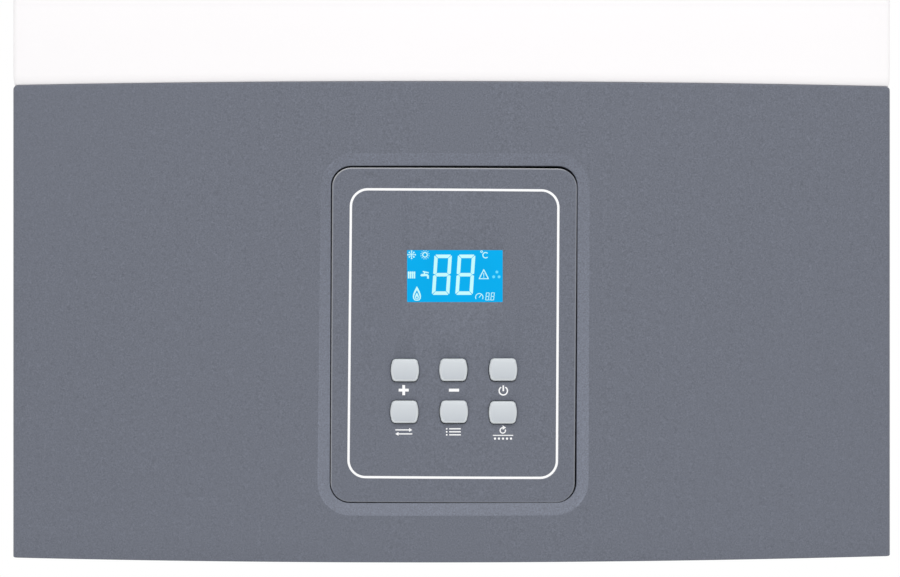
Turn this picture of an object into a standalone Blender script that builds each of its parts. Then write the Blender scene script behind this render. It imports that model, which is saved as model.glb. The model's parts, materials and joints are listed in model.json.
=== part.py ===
"""Wall-mounted gas boiler, fan-flued combination type, as an assembly of separate pieces.

Run with: blender --background --python part.py
Metres, +Z up, the wall is the plane y = 0 and the front faces -Y.
The origin is the centre of the wall bracket's back face, on the wall.
Lengths below are written in millimetres with z measured from the casing's bottom edge,
and are turned into metres in the row frame when a piece is placed.
"""

import math

import bmesh
import bpy
from mathutils import Matrix, Vector

# ---------------------------------------------------------------- driving dimensions (mm)
MM = 0.001
BRACKET_Z = 640.0          # height of the wall bracket's centre above the casing's bottom edge

CASE_W = 410.0             # casing width
CASE_H = 700.0             # casing height, without the flue collar
SIDE_Y = -300.0            # front edge of the side walls
BOW = 20.0                 # how far the front bows out in the middle
FRONT_Y = SIDE_Y - BOW     # frontmost line of the casing
SHEET = 1.2                # sheet-steel thickness
SPLIT_Y = -234.6           # back edge of the front cover's and the fascia's side returns
REAR_SIDE_Y = -233.5       # front edge of the fixed side panels

FASCIA_H = 220.0           # height of the grey fascia
FASCIA_T = 2.5             # fascia wall
COVER_GAP = 0.8            # gap between fascia and white cover

MODULE_W, MODULE_H, MODULE_R = 112.1, 153.1, 8.8   # control module face
MODULE_Z = 104.15          # its centre
MODULE_X = 0.1
MODULE_GAP = 0.6           # gap between module and fascia, all round
RECESS_W, RECESS_D = 6.0, 1.6   # sloped border round the module
FACE_T = 2.0               # module face thickness
SKIRT_D = 12.0             # module skirt depth

LCD_W, LCD_H = 43.8, 23.8  # display window
LCD_X, LCD_Z = 0.65, 130.9
BTN_W, BTN_H = 12.8, 10.3  # push buttons
BTN_PITCH_X, BTN_PITCH_Z = 22.5, 19.2
BTN_X0, BTN_Z0 = 0.1, 88.15   # centre of the upper middle button
BTN_PROUD = 1.5
BTN_GAP = 0.35
BTN_TRAVEL = 1.2

HINGE_Y, HINGE_Z = -212.0, 5.6   # control panel's hinge line
HINGE_PIN_R = 2.2

FLUE_X, FLUE_Y = 0.0, -150.0     # flue axis
FAN_X, FAN_Z = -45.0, 642.0      # fan axis, along Y
PUMP_X, PUMP_Z = 140.0, 100.0    # pump axis, along Y
PIPE_Y = -120.0                  # line of the pipe connections
PIPE_X = {"flow": -140.0, "hot": -75.0, "gas": 0.0, "cold": 75.0, "return": 140.0}
PIPE_END_Z = -20.0

R_BOW = ((CASE_W / 2) ** 2 + BOW ** 2) / (2 * BOW)   # radius of the bowed front


def front(x, inset=0.0):
    """y of the bowed front at x, moved back by inset."""
    r = R_BOW - inset
    return FRONT_Y + R_BOW - math.sqrt(r * r - x * x)


# ---------------------------------------------------------------- scene and collections
for old in list(bpy.data.objects):
    bpy.data.objects.remove(old)

parts = bpy.data.collections.new("wall_mounted_gas_boiler")
bpy.context.scene.collection.children.link(parts)

bpy.context.scene.unit_settings.scale_length = 1.0


def material(name, colour, roughness=0.5, metallic=0.0):
    m = bpy.data.materials.new(name)
    m.use_nodes = True
    b = m.node_tree.nodes["Principled BSDF"]
    b.inputs["Base Color"].default_value = (*colour, 1.0)
    b.inputs["Roughness"].default_value = roughness
    b.inputs["Metallic"].default_value = metallic
    m.diffuse_color = (*colour, 1.0)
    return m


WHITE = material("white_enamel", (0.88, 0.88, 0.87), 0.35)
GREY = material("fascia_grey", (0.17, 0.185, 0.225), 0.6)
SILVER = material("button_silver", (0.63, 0.66, 0.69), 0.4)
BLACK = material("black_plastic", (0.03, 0.03, 0.035), 0.5)
CLEAR = material("display_lens", (0.02, 0.30, 0.62), 0.1)
BLUE = material("display_blue", (0.0, 0.40, 0.85), 0.3)
BOARD = material("board_green", (0.02, 0.16, 0.07), 0.5)
ZINC = material("zinc_plated", (0.55, 0.56, 0.58), 0.4, 1.0)
ALUZINC = material("aluminised_steel", (0.62, 0.62, 0.61), 0.35, 1.0)
STEEL = material("stainless_steel", (0.60, 0.60, 0.60), 0.3, 1.0)
COPPER = material("copper", (0.72, 0.34, 0.19), 0.3, 1.0)
BRASS = material("brass", (0.70, 0.52, 0.24), 0.35, 1.0)
CAST = material("cast_aluminium", (0.48, 0.49, 0.51), 0.5, 1.0)
VESSEL = material("vessel_red", (0.42, 0.03, 0.02), 0.4)
INSULATION = material("ceramic_fibre", (0.80, 0.77, 0.70), 0.9)
COMPOSITE = material("composite_dark", (0.05, 0.055, 0.06), 0.5)
RED = material("knob_red", (0.60, 0.02, 0.02), 0.4)
NAVY = material("knob_blue", (0.02, 0.08, 0.40), 0.4)
RUBBER = material("rubber", (0.02, 0.02, 0.02), 0.8)
GLASS = material("sight_glass", (0.55, 0.62, 0.60), 0.1)
CERAMIC = material("electrode_ceramic", (0.85, 0.83, 0.78), 0.3)


# ---------------------------------------------------------------- shape helpers (mm in, mm mesh)
def made(mesh_or_bm):
    """A temporary object that holds this mesh."""
    if isinstance(mesh_or_bm, bmesh.types.BMesh):
        mesh = bpy.data.meshes.new("m")
        mesh_or_bm.to_mesh(mesh)
        mesh_or_bm.free()
    else:
        mesh = mesh_or_bm
    obj = bpy.data.objects.new("piece", mesh)
    parts.objects.link(obj)
    return obj


def bake(obj, weld=1e-4):
    """The object as a plain welded mesh, its modifiers or its curve applied."""
    graph = bpy.context.evaluated_depsgraph_get()
    mesh = bpy.data.meshes.new_from_object(obj.evaluated_get(graph))
    mesh.transform(obj.matrix_world)
    bpy.data.objects.remove(obj)
    bm = bmesh.new()
    bm.from_mesh(mesh)
    bmesh.ops.remove_doubles(bm, verts=bm.verts, dist=weld)
    bmesh.ops.recalc_face_normals(bm, faces=bm.faces)
    bm.to_mesh(mesh)
    bm.free()
    return made(mesh)


def box(lo, hi):
    bm = bmesh.new()
    bmesh.ops.create_cube(bm, size=1.0)
    size = [h - l for l, h in zip(lo, hi)]
    mid = [(h + l) / 2 for l, h in zip(lo, hi)]
    bmesh.ops.scale(bm, vec=size, verts=bm.verts)
    bmesh.ops.translate(bm, vec=mid, verts=bm.verts)
    return made(bm)


def cylinder(a, b, r, sides=24, r_end=None):
    a, b = Vector(a), Vector(b)
    bm = bmesh.new()
    bmesh.ops.create_cone(bm, cap_ends=True, segments=sides, radius1=r,
                          radius2=r if r_end is None else r_end, depth=(b - a).length)
    turn = Vector((0, 0, 1)).rotation_difference(b - a).to_matrix()
    bmesh.ops.rotate(bm, verts=bm.verts, matrix=turn)
    bmesh.ops.translate(bm, vec=(a + b) / 2, verts=bm.verts)
    return made(bm)


TO_AXIS = {
    "Z": Matrix.Identity(4),                                           # outline (x, y), thick along Z
    "Y": Matrix(((1, 0, 0, 0), (0, 0, -1, 0), (0, 1, 0, 0), (0, 0, 0, 1))),   # outline (x, z), thick along Y
    "X": Matrix(((0, 0, 1, 0), (1, 0, 0, 0), (0, 1, 0, 0), (0, 0, 0, 1))),    # outline (y, z), thick along X
}


def prism(outlines, lo, hi, axis="Z"):
    """A flat outline, with any holes as further outlines, made hi - lo thick along the axis."""
    curve = bpy.data.curves.new("c", "CURVE")
    curve.dimensions = "2D"
    curve.fill_mode = "BOTH"
    for points in outlines:
        spline = curve.splines.new("POLY")
        spline.points.add(len(points) - 1)
        for p, (u, v) in zip(spline.points, points):
            p.co = (u, v, 0.0, 1.0)
        spline.use_cyclic_u = True
    curve.extrude = (hi - lo) / 2
    obj = bpy.data.objects.new("c", curve)
    parts.objects.link(obj)
    mid = (hi + lo) / 2
    obj.matrix_world = TO_AXIS[axis] @ Matrix.Translation((0, 0, -mid if axis == "Y" else mid))
    bpy.context.view_layer.update()
    return bake(obj)


def arc(cx, cy, r, a0, a1, n):
    """n + 1 points of an arc, angles in degrees."""
    return [(cx + r * math.cos(math.radians(a0 + (a1 - a0) * i / n)),
             cy + r * math.sin(math.radians(a0 + (a1 - a0) * i / n))) for i in range(n + 1)]


def circle(cx, cy, r, n=24):
    return arc(cx, cy, r, 0, 360, n)[:-1]


def rounded(cx, cy, w, h, r, n=4, along=1):
    """A rounded rectangle, its straight top and bottom split into `along` stretches."""
    x, y = w / 2 - r, h / 2 - r
    pts = []
    for sx, sy, a in ((1, 1, 0), (-1, 1, 90), (-1, -1, 180), (1, -1, 270)):
        pts += arc(cx + sx * x, cy + sy * y, r, a, a + 90, n)
        if a in (0, 180) and along > 1:
            x0, x1 = cx + sx * x, cx - sx * x
            pts += [(x0 + (x1 - x0) * k / along, cy + sy * h / 2) for k in range(1, along)]
    return pts


def barrel(cx, cy, w, h, r, bulge, n=2):
    """A button's outline: flat top and bottom, bulging sides, rounded corners."""
    x, y = w / 2 - bulge - r, h / 2 - r
    pts = []
    for sx, sy, a in ((1, 1, 0), (-1, 1, 90), (-1, -1, 180), (1, -1, 270)):
        pts += arc(cx + sx * x, cy + sy * y, r, a, a + 90, n)
        if a == 90:
            pts += [(cx - x - r - bulge * (1 - t * t), cy + y * t) for t in (0.5, 0.0, -0.5)]
        if a == 270:
            pts += [(cx + x + r + bulge * (1 - t * t), cy + y * t) for t in (-0.5, 0.0, 0.5)]
    return pts


def lathe(profile, at, axis="Z", steps=24, closed=False):
    """A turned shape. The profile is (radius, height) points down the outer side; a closed one is a ring."""
    mesh = bpy.data.meshes.new("l")
    bm = bmesh.new()
    verts = [bm.verts.new((r, 0, h)) for r, h in profile]
    for a, b in zip(verts, verts[1:] + (verts[:1] if closed else [])):
        if a is not b:
            bm.edges.new((a, b))
    bm.to_mesh(mesh)
    bm.free()
    obj = bpy.data.objects.new("l", mesh)
    parts.objects.link(obj)
    m = obj.modifiers.new("turn", "SCREW")
    m.axis = "Z"
    m.angle = math.tau
    m.steps = m.render_steps = steps
    m.use_merge_vertices = True
    m.merge_threshold = 1e-5
    bpy.context.view_layer.update()
    # heights run along +axis
    obj.matrix_world = Matrix.Translation(at) @ {
        "Z": Matrix.Identity(4),
        "Y": Matrix.Rotation(-math.pi / 2, 4, "X"),
        "X": Matrix.Rotation(math.pi / 2, 4, "Y"),
    }[axis]
    bpy.context.view_layer.update()
    return bake(obj, 1e-5)


def smooth_path(points, spacing):
    """Points about `spacing` apart on a smooth curve through the given points."""
    p = [Vector(q) for q in points]
    p = [2 * p[0] - p[1]] + p + [2 * p[-1] - p[-2]]
    out = []
    for i in range(1, len(p) - 2):
        a, b, c, d = p[i - 1:i + 3]
        n = max(1, round((c - b).length / spacing))
        for k in range(n):
            t = k / n
            out.append(0.5 * ((2 * b) + (c - a) * t + (2 * a - 5 * b + 4 * c - d) * t * t
                              + (3 * b - a - 3 * c + d) * t ** 3))
    out.append(p[-2])
    return out


def tube(points, r, spacing=25.0, resolution=2, smooth=True):
    """A round rod along a smooth route."""
    curve = bpy.data.curves.new("t", "CURVE")
    curve.dimensions = "3D"
    curve.bevel_depth = r
    curve.bevel_resolution = resolution
    curve.use_fill_caps = True
    route = smooth_path(points, spacing) if smooth else [Vector(q) for q in points]
    spline = curve.splines.new("POLY")
    spline.points.add(len(route) - 1)
    for p, q in zip(spline.points, route):
        p.co = (*q, 1.0)
    obj = bpy.data.objects.new("t", curve)
    parts.objects.link(obj)
    bpy.context.view_layer.update()
    return bake(obj, 1e-3)


def combine(obj, other, operation):
    m = obj.modifiers.new("b", "BOOLEAN")
    m.operation = operation
    m.solver = "EXACT"
    m.object = other
    bpy.context.view_layer.update()
    out = bake(obj, 1e-3)
    bpy.data.objects.remove(other)
    return out


def union(first, *others):
    for o in others:
        first = combine(first, o, "UNION")
    return first


def cut(first, *others):
    for o in others:
        first = combine(first, o, "DIFFERENCE")
    return first


def together(objects):
    """Separate solids that don't touch, as one mesh, for a single Boolean."""
    bm = bmesh.new()
    for o in objects:
        bm.from_mesh(o.data)
        bpy.data.objects.remove(o)
    return made(bm)


def common(first, other):
    return combine(first, other, "INTERSECT")


def bevel(obj, width, segments=2, angle=40.0):
    m = obj.modifiers.new("edges", "BEVEL")
    m.width = width
    m.segments = segments
    m.limit_method = "ANGLE"
    m.angle_limit = math.radians(angle)
    bpy.context.view_layer.update()
    return bake(obj, 1e-4)


bodies = {}


def body(name, parent=None, pivot=(0.0, 0.0, BRACKET_Z)):
    """An empty at a body's joint axis; the pieces that move with it are its children."""
    empty = bpy.data.objects.new("body_" + name, None)
    parts.objects.link(empty)
    at = Vector((pivot[0], pivot[1], pivot[2] - BRACKET_Z)) * MM
    if parent:
        up = bodies[parent]
        empty.parent = up[0]
        empty.location = at - up[1]
    else:
        empty.location = at
    bodies[name] = (empty, at)


def place(obj, name, mat, owner="casing", smooth=35.0):
    """Turns a millimetre mesh into a named piece in metres, parented to its body's empty."""
    empty, at = bodies[owner]
    obj.data.transform(Matrix.Translation(-at) @ Matrix.Scale(MM, 4) @ Matrix.Translation((0, 0, -BRACKET_Z)))
    obj.name = name
    obj.data.name = name
    obj.data.materials.clear()
    obj.data.materials.append(mat)
    obj.data.shade_smooth()
    obj.data.set_sharp_from_angle(angle=math.radians(smooth))
    obj.parent = empty
    return obj


# ---------------------------------------------------------------- bodies
body("casing")
body("front_cover", "casing", (0, FRONT_Y, 460.0))
body("control_panel", "casing", (0, HINGE_Y, HINGE_Z))
BUTTONS = {
    "plus": (-1, 0), "minus": (0, 0), "power": (1, 0),
    "mode": (-1, -1), "info": (0, -1), "reset": (1, -1),
}


def button_centre(key):
    i, j = BUTTONS[key]
    return BTN_X0 + i * BTN_PITCH_X, BTN_Z0 + j * BTN_PITCH_Z


for key in BUTTONS:
    bx, bz = button_centre(key)
    body("button_" + key, "control_panel", (bx, front(bx, RECESS_D), bz))
body("fan_impeller", "casing", (FAN_X, -150.0, FAN_Z))
body("pump_impeller", "casing", (PUMP_X, -125.0, PUMP_Z))
SAFETY = (98.0, 42.0)    # safety valve's axis, x and z
body("safety_valve_knob", "casing", (SAFETY[0], -178.0, SAFETY[1]))
FILL = (104.0, -108.0)   # filling tap's axis, x and y
body("filling_tap_knob", "casing", (FILL[0], FILL[1], 0.0))


# ---------------------------------------------------------------- wall bracket and rear panel
# A flat steel rail with two upturned hooks that pass through slots in the rear panel.
rail = box((-150, -2.5, 615), (150, 0, 665))
for sx in (-1, 1):
    hook = prism([[(-1.0, 660), (-20, 660), (-20, 676), (-17.5, 676), (-17.5, 662.5), (-1.0, 662.5)]],
                 sx * 95 - 28, sx * 95 + 28, "X")
    rail = union(rail, hook)
    rail = cut(rail, prism([rounded(sx * 125, 640, 9, 16, 4.4, 3)], -4, 1, "Y"))
place(rail, "wall_bracket", ZINC)

# The rear panel is a tray: an open box given thickness. Each of its two windows hangs on a hook by its upper edge,
# and leaves the rail's screw slot free.
bm = bmesh.new()
bmesh.ops.create_cube(bm, size=1.0)
bmesh.ops.scale(bm, vec=(406.0, 14.0, 692.0), verts=bm.verts)
bmesh.ops.translate(bm, vec=(0, -12.8 - 7.0, 349.0), verts=bm.verts)
bm.faces.ensure_lookup_table()
open_side = min(bm.faces, key=lambda f: f.calc_center_median().y)
bmesh.ops.delete(bm, geom=[open_side], context="FACES_ONLY")
tray = made(bm)
m = tray.modifiers.new("sheet", "SOLIDIFY")
m.thickness = SHEET
m.offset = -1
m.use_even_offset = True
tray = bake(tray)
for sx in (-1, 1):
    tray = cut(tray, box((sx * 99.5 - 36.5, -16, 626), (sx * 99.5 + 36.5, -10, 662.8)))
place(tray, "rear_panel", ALUZINC)

# ---------------------------------------------------------------- side panels, top panel
for side, sx in (("left", -1), ("right", 1)):
    x0, x1 = CASE_W / 2, CASE_W / 2 - SHEET
    y0, y1 = REAR_SIDE_Y, 0.0
    section = [(x0, y0), (x0, y1), (x0 - 13, y1), (x0 - 13, y1 - SHEET), (x1, y1 - SHEET),
               (x1, y0 + SHEET), (x0 - 15, y0 + SHEET), (x0 - 15, y0)]
    if sx < 0:
        section = [(-x, y) for x, y in section][::-1]
    place(prism([section], 0.0, CASE_H - SHEET - 0.3), f"side_panel_{side}", WHITE)

top = box((-CASE_W / 2, REAR_SIDE_Y, CASE_H - SHEET), (CASE_W / 2, -0.2, CASE_H))
top = union(top, box((-189.0, REAR_SIDE_Y, CASE_H - 12), (189.0, REAR_SIDE_Y + SHEET, CASE_H - 0.4)))
top = cut(top, cylinder((FLUE_X, FLUE_Y, 680), (FLUE_X, FLUE_Y, 710), 51.0, 32),
          cylinder((-125, -130, 680), (-125, -130, 710), 38.0, 24))
place(top, "top_panel", WHITE)

blank = lathe([(0, 3.0), (40, 3.0), (42, 1.4), (47, 1.4), (47, 0), (0, 0)],
              (-125, -130, CASE_H + 0.3), "Z", 24)
place(blank, "air_intake_blank", ZINC)

# ---------------------------------------------------------------- front cover, white, bowed
def plan(inset, back):
    """Plan outline of the front: the bowed face and two straight sides back to y = back."""
    n = 18
    half = CASE_W / 2 - inset
    pts = [(-half + 2 * half * i / n, front(-half + 2 * half * i / n, inset)) for i in range(n + 1)]
    return pts + [(half, back), (-half, back)]


cover_lo = FASCIA_H + COVER_GAP
cover = bevel(prism([plan(0.0, SPLIT_Y)], cover_lo, CASE_H), 2.0, 2, 50.0)
cover = cut(cover, prism([plan(SHEET, SPLIT_Y + 10)], cover_lo + SHEET, CASE_H - SHEET))
cover = cut(cover, prism([plan(16.0, SPLIT_Y + 10)], cover_lo - 5, cover_lo + 5))
place(cover, "front_cover", WHITE, "front_cover")

# ---------------------------------------------------------------- fascia, grey, with the module's opening
shell = bevel(prism([plan(0.0, SPLIT_Y)], 0.0, FASCIA_H), 1.2, 2, 50.0)
shell = cut(shell, prism([plan(FASCIA_T, SPLIT_Y + 10)], FASCIA_T, FASCIA_H - FASCIA_T))
shell = cut(shell, prism([plan(18.0, SPLIT_Y + 10)], FASCIA_H - 5, FASCIA_H + 5))

open_w, open_h, open_r = MODULE_W + 2 * MODULE_GAP, MODULE_H + 2 * MODULE_GAP, MODULE_R + MODULE_GAP
shell = cut(shell, prism([rounded(MODULE_X, MODULE_Z, open_w, open_h, open_r, 5)], -330, -300, "Y"))
# The sloped border: a flat-ended plug whose front is wider than its back, bent to the bow.
NARC, NTOP = 5, 10
inner = rounded(MODULE_X, MODULE_Z, open_w - 0.2, open_h - 0.2, open_r - 0.1, NARC, NTOP)
grow = RECESS_W * (2.0 + RECESS_D) / RECESS_D
outer = rounded(MODULE_X, MODULE_Z, open_w + 2 * grow, open_h + 2 * grow, open_r + grow, NARC, NTOP)
bm = bmesh.new()
rows = []
for ring, depth in ((outer, -2.0), (inner, RECESS_D)):
    # depth is measured from the bowed face, so the border has the same slope all round
    rows.append([bm.verts.new((u, front(u) + depth, v)) for u, v in ring])
edges = [[bm.edges.new((row[i], row[(i + 1) % len(row)])) for i in range(len(row))] for row in rows]
bmesh.ops.bridge_loops(bm, edges=edges[0] + edges[1])
for row in rows:
    # caps as strips across, so that they follow the bow
    n = len(row)
    order = sorted(row, key=lambda v: (round(v.co.x, 3), v.co.z))
    bmesh.ops.contextual_create(bm, geom=row)
bmesh.ops.triangulate(bm, faces=[f for f in bm.faces if len(f.verts) > 4])
bmesh.ops.recalc_face_normals(bm, faces=bm.faces)
shell = cut(shell, made(bm))
place(shell, "fascia", GREY, "control_panel", 10.0)

# ---------------------------------------------------------------- control module face
n = 10
half = MODULE_W / 2 + 5
xs = [MODULE_X - half + 2 * half * i / n for i in range(n + 1)]
slab = prism([[(x, front(x, RECESS_D)) for x in xs] + [(xs[-1], -300.0), (xs[0], -300.0)]],
             MODULE_Z - 90, MODULE_Z + 90)
face = prism([rounded(MODULE_X, MODULE_Z, MODULE_W, MODULE_H, MODULE_R, 5)], -330, -319.9 + SKIRT_D, "Y")
face = common(face, slab)
face = bevel(face, 0.6, 1, 50.0)
face = cut(face, prism([rounded(MODULE_X, MODULE_Z, MODULE_W - 3.6, MODULE_H - 3.6, MODULE_R - 1.8, 5)],
                       FRONT_Y + RECESS_D + 1.2 + FACE_T, -300, "Y"))
face = cut(face, box((LCD_X - LCD_W / 2, -330, LCD_Z - LCD_H / 2), (LCD_X + LCD_W / 2, -300, LCD_Z + LCD_H / 2)))
for key in BUTTONS:
    bx, bz = button_centre(key)
    face = cut(face, prism([barrel(bx, bz, BTN_W + 2 * BTN_GAP, BTN_H + 2 * BTN_GAP, 2.5, 0.5)],
                           -330, -300, "Y"))
place(face, "control_module_face", GREY, "control_panel", 10.0)

BACK = FRONT_Y + RECESS_D + 1.2 + FACE_T      # y of the module face's inner side

window = box((LCD_X - LCD_W / 2 + 0.3, -318.0, LCD_Z - LCD_H / 2 + 0.3),
             (LCD_X + LCD_W / 2 - 0.3, BACK + 0.8, LCD_Z + LCD_H / 2 - 0.3))
window = union(window, box((LCD_X - LCD_W / 2 - 2, BACK + 0.3, LCD_Z - LCD_H / 2 - 2),
                           (LCD_X + LCD_W / 2 + 2, BACK + 1.3, LCD_Z + LCD_H / 2 + 2)))
place(window, "display_window", CLEAR, "control_panel")

lcd = bevel(box((LCD_X - 24.5, BACK + 1.6, LCD_Z - 15), (LCD_X + 24.5, -305.0, LCD_Z + 15)), 0.6, 1)
place(lcd, "lcd_module", BLUE, "control_panel")

# Display board with six tactile switches
board = box((MODULE_X - 53, -304.6, MODULE_Z - 73), (MODULE_X + 53, -303.0, MODULE_Z + 73))
for key in BUTTONS:
    bx, bz = button_centre(key)
    board = union(board, box((bx - 3.1, -306.4, bz - 3.1), (bx + 3.1, -304.2, bz + 3.1)),
                  cylinder((bx, -306.0, bz), (bx, -307.2, bz), 1.7, 8))
place(board, "display_board", BOARD, "control_panel")

# ---------------------------------------------------------------- push buttons
for key in BUTTONS:
    bx, bz = button_centre(key)
    y_face = front(bx, RECESS_D)
    cap = prism([barrel(bx, bz, BTN_W, BTN_H, 2.3, 0.5)], y_face - BTN_PROUD, BACK + 0.8, "Y")
    cap = bevel(cap, 0.6, 1, 60.0)
    flange = box((bx - 7.7, BACK + 0.3, bz - 6.5), (bx + 7.7, BACK + 1.2, bz + 6.5))
    stem = cylinder((bx, BACK + 0.6, bz), (bx, -307.2 - 0.3 - BTN_TRAVEL, bz), 1.4, 8)
    place(union(cap, flange, stem), "button_" + key, SILVER, "button_" + key)

# ---------------------------------------------------------------- control box behind the fascia
BOX_X, BOX_Z0, BOX_Z1, BOX_Y0, BOX_Y1, BOX_T = 172.0, 12.0, 208.0, -302.0, -222.0, 2.5
housing = bevel(box((-BOX_X, BOX_Y0, BOX_Z0), (BOX_X, BOX_Y1, BOX_Z1)), 3.0, 1)
housing = cut(housing, box((-BOX_X + BOX_T, BOX_Y0 - 10, BOX_Z0 + BOX_T), (BOX_X - BOX_T, BOX_Y1 - BOX_T, BOX_Z1 - BOX_T)))
for sx in (-1, 1):
    lug = prism([[(-226, 30), (-222, 30)] + [(HINGE_Y + 5.2 * math.cos(math.radians(a)),
                                               HINGE_Z + 5.2 * math.sin(math.radians(a)))
                                              for a in range(60, -121, -20)] + [(-226, 13)],
                 circle(HINGE_Y, HINGE_Z, HINGE_PIN_R + 0.4, 20)],
                min(sx * 165, sx * 170), max(sx * 165, sx * 170), "X")
    housing = union(housing, lug)
place(housing, "control_box_housing", BLACK, "control_panel")

cover = bevel(box((-130, -221.7, 45), (-20, -213.5, 165)), 3.0, 1)
place(cover, "terminal_cover", COMPOSITE, "control_panel")

pcb = box((-150, -237.0, 22), (150, -235.4, 198))
for lo, hi in (((60, -275, 40), (110, -236.5, 90)),        # transformer
               ((-140, -262, 150), (-100, -236.5, 180)),   # capacitor block
               ((-90, -256, 150), (-70, -236.5, 178)), ((-60, -256, 150), (-40, -236.5, 178)),
               ((-30, -256, 150), (-10, -236.5, 178)),     # relays
               ((-140, -250, 30), (40, -236.5, 44)),       # terminal row
               ((0, -242, 90), (24, -236.5, 114))):        # processor
    pcb = union(pcb, box(lo, hi))
for x in (80, 105, 130):
    pcb = union(pcb, cylinder((x, -236.5, 130), (x, -262, 130), 9, 12))
place(pcb, "main_board", BOARD, "control_panel")

for side, sx in (("left", -1), ("right", 1)):
    block = bevel(box((min(sx * 176, sx * 203.4), -220, 2), (max(sx * 176, sx * 203.4), -204, 22)), 2.0, 1)
    pin = cylinder((sx * 163, HINGE_Y, HINGE_Z), (sx * 178, HINGE_Y, HINGE_Z), HINGE_PIN_R, 20)
    place(union(block, pin), f"hinge_bracket_{side}", ZINC)

# ---------------------------------------------------------------- burner and combustion chamber
T = 3.0
u = [(-142, -284), (-142, -108), (142, -108), (142, -284), (142 - T, -284), (142 - T, -108 - T),
     (-142 + T, -108 - T), (-142 + T, -284)]
place(prism([u], 305, 465), "combustion_chamber", ALUZINC)

panel = bevel(box((-144, -288.4, 300), (144, -284.4, 466)), 1.2, 1)
panel = cut(panel, cylinder((62, -300, 345), (62, -280, 345), 11.5, 24))
place(panel, "chamber_front_panel", ALUZINC)
glass = lathe([(0, 3.6), (11.0, 3.6), (11.0, -0.3), (14.5, -0.3), (14.5, -2.4), (0, -2.4)],
              (62, -288.4, 345), "Y", 20)
place(glass, "sight_glass", GLASS)

teeth = []
N_BLADE, PITCH = 13, 19.5
x_left = -PITCH * (N_BLADE - 1) / 2
for i in range(N_BLADE):
    x = x_left + i * PITCH
    teeth += [(x - 5.0, 284), (x - 5.0, 322), (x - 3.2, 330), (x + 3.2, 330), (x + 5.0, 322), (x + 5.0, 284)]
base_x = -x_left + 9.0
burner = prism([[(-base_x, 262), (-base_x, 284)] + teeth + [(base_x, 284), (base_x, 262)]], -270, -124, "Y")
hollow = []
for i in range(N_BLADE):
    x = x_left + i * PITCH
    hollow += [(x - 3.6, 282.6), (x - 3.6, 321), (x - 2.2, 328), (x + 2.2, 328), (x + 3.6, 321), (x + 3.6, 282.6)]
burner = cut(burner, prism([[(-base_x + 1.4, 255), (-base_x + 1.4, 282.6)] + hollow
                            + [(base_x - 1.4, 282.6), (base_x - 1.4, 255)]], -268.6, -125.4, "Y"))
place(burner, "burner", STEEL)

manifold = union(tube([(-122, -284, 272), (122, -284, 272)], 8.5, smooth=False, resolution=3),
                 together([cylinder((x_left + i * PITCH, -280, 272), (x_left + i * PITCH, -270.6, 272), 3.0, 5)
                           for i in range(N_BLADE)]))
feed = tube([(30, -284, 270), (30, -284, 244), (30, -276, 230), (30, -258, 226), (30, -200, 226),
             (30, -174, 222), (30, -165, 208), (30, -165, 186.5)], 6.5, 14)
place(union(manifold, feed), "gas_manifold", ALUZINC)

electrode = cylinder((-90, -277.6, 284), (-90, -277.6, 310), 3.4, 16)
wire = tube([(-90, -277.6, 308), (-90, -277.6, 330), (-90, -276, 337), (-90, -270, 341), (-90, -256, 342)], 1.1, 6)
place(union(electrode, wire), "ignition_electrode", CERAMIC)

# ---------------------------------------------------------------- primary heat exchanger
N_FIN, FIN_P, FIN_T = 20, 13.0, 1.2
x_left = -FIN_P * (N_FIN - 1) / 2
end = -x_left + 9
core = union(box((-end, -278, 501), (end, -114, 509)),
             together([box((x_left + i * FIN_P - FIN_T / 2, -280, 467), (x_left + i * FIN_P + FIN_T / 2, -112, 543))
                       for i in range(N_FIN)]))
TUBES_Y = [-132, -164, -196, -228, -260]
for i, (a, b) in enumerate(zip(TUBES_Y, TUBES_Y[1:])):
    sx = -1 if i % 2 == 0 else 1
    c, r = (a + b) / 2, abs(a - b) / 2
    pts = [(sx * (end - 4), a, 505), (sx * (end + 2), a, 505)]
    pts += [(sx * (end + 2 + r * math.sin(t)), c + (a - c) * math.cos(t), 505)
            for t in [math.pi * k / 6 for k in range(1, 6)]]
    pts += [(sx * (end + 2), b, 505), (sx * (end - 4), b, 505)]
    core = union(core, tube(pts, 8.0, smooth=False))
place(core, "primary_heat_exchanger", COPPER)

# ---------------------------------------------------------------- flue hood with its rear duct
bm = bmesh.new()
bmesh.ops.create_cube(bm, size=1.0)
bmesh.ops.scale(bm, vec=(282, 174, 32), verts=bm.verts)
bmesh.ops.translate(bm, vec=(0, -195, 547 + 16), verts=bm.verts)
for v in bm.verts:
    if v.co.z > 560:      # the top is narrower
        v.co.x = v.co.x * 0.62 - 20
        v.co.y = -108 if v.co.y > -195 else -232
hood = union(made(bm), box((-105, -123.4, 560), (25, -108, 690.6)))
bm = bmesh.new()
bmesh.ops.create_cube(bm, size=1.0)
bmesh.ops.scale(bm, vec=(279, 171, 36), verts=bm.verts)
bmesh.ops.translate(bm, vec=(0, -195, 543.5 + 16), verts=bm.verts)
for v in bm.verts:
    if v.co.z > 560:
        v.co.x = v.co.x * 0.61 - 20
        v.co.y = -109.5 if v.co.y > -195 else -229
inside = union(made(bm), box((-103.5, -121.9, 550), (23.5, -109.5, 689.1)))
hood = cut(hood, inside)
hood = cut(hood, cylinder((FAN_X, -130, FAN_Z), (FAN_X, -116, FAN_Z), 29.0, 24))
place(hood, "flue_hood", ALUZINC)

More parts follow.
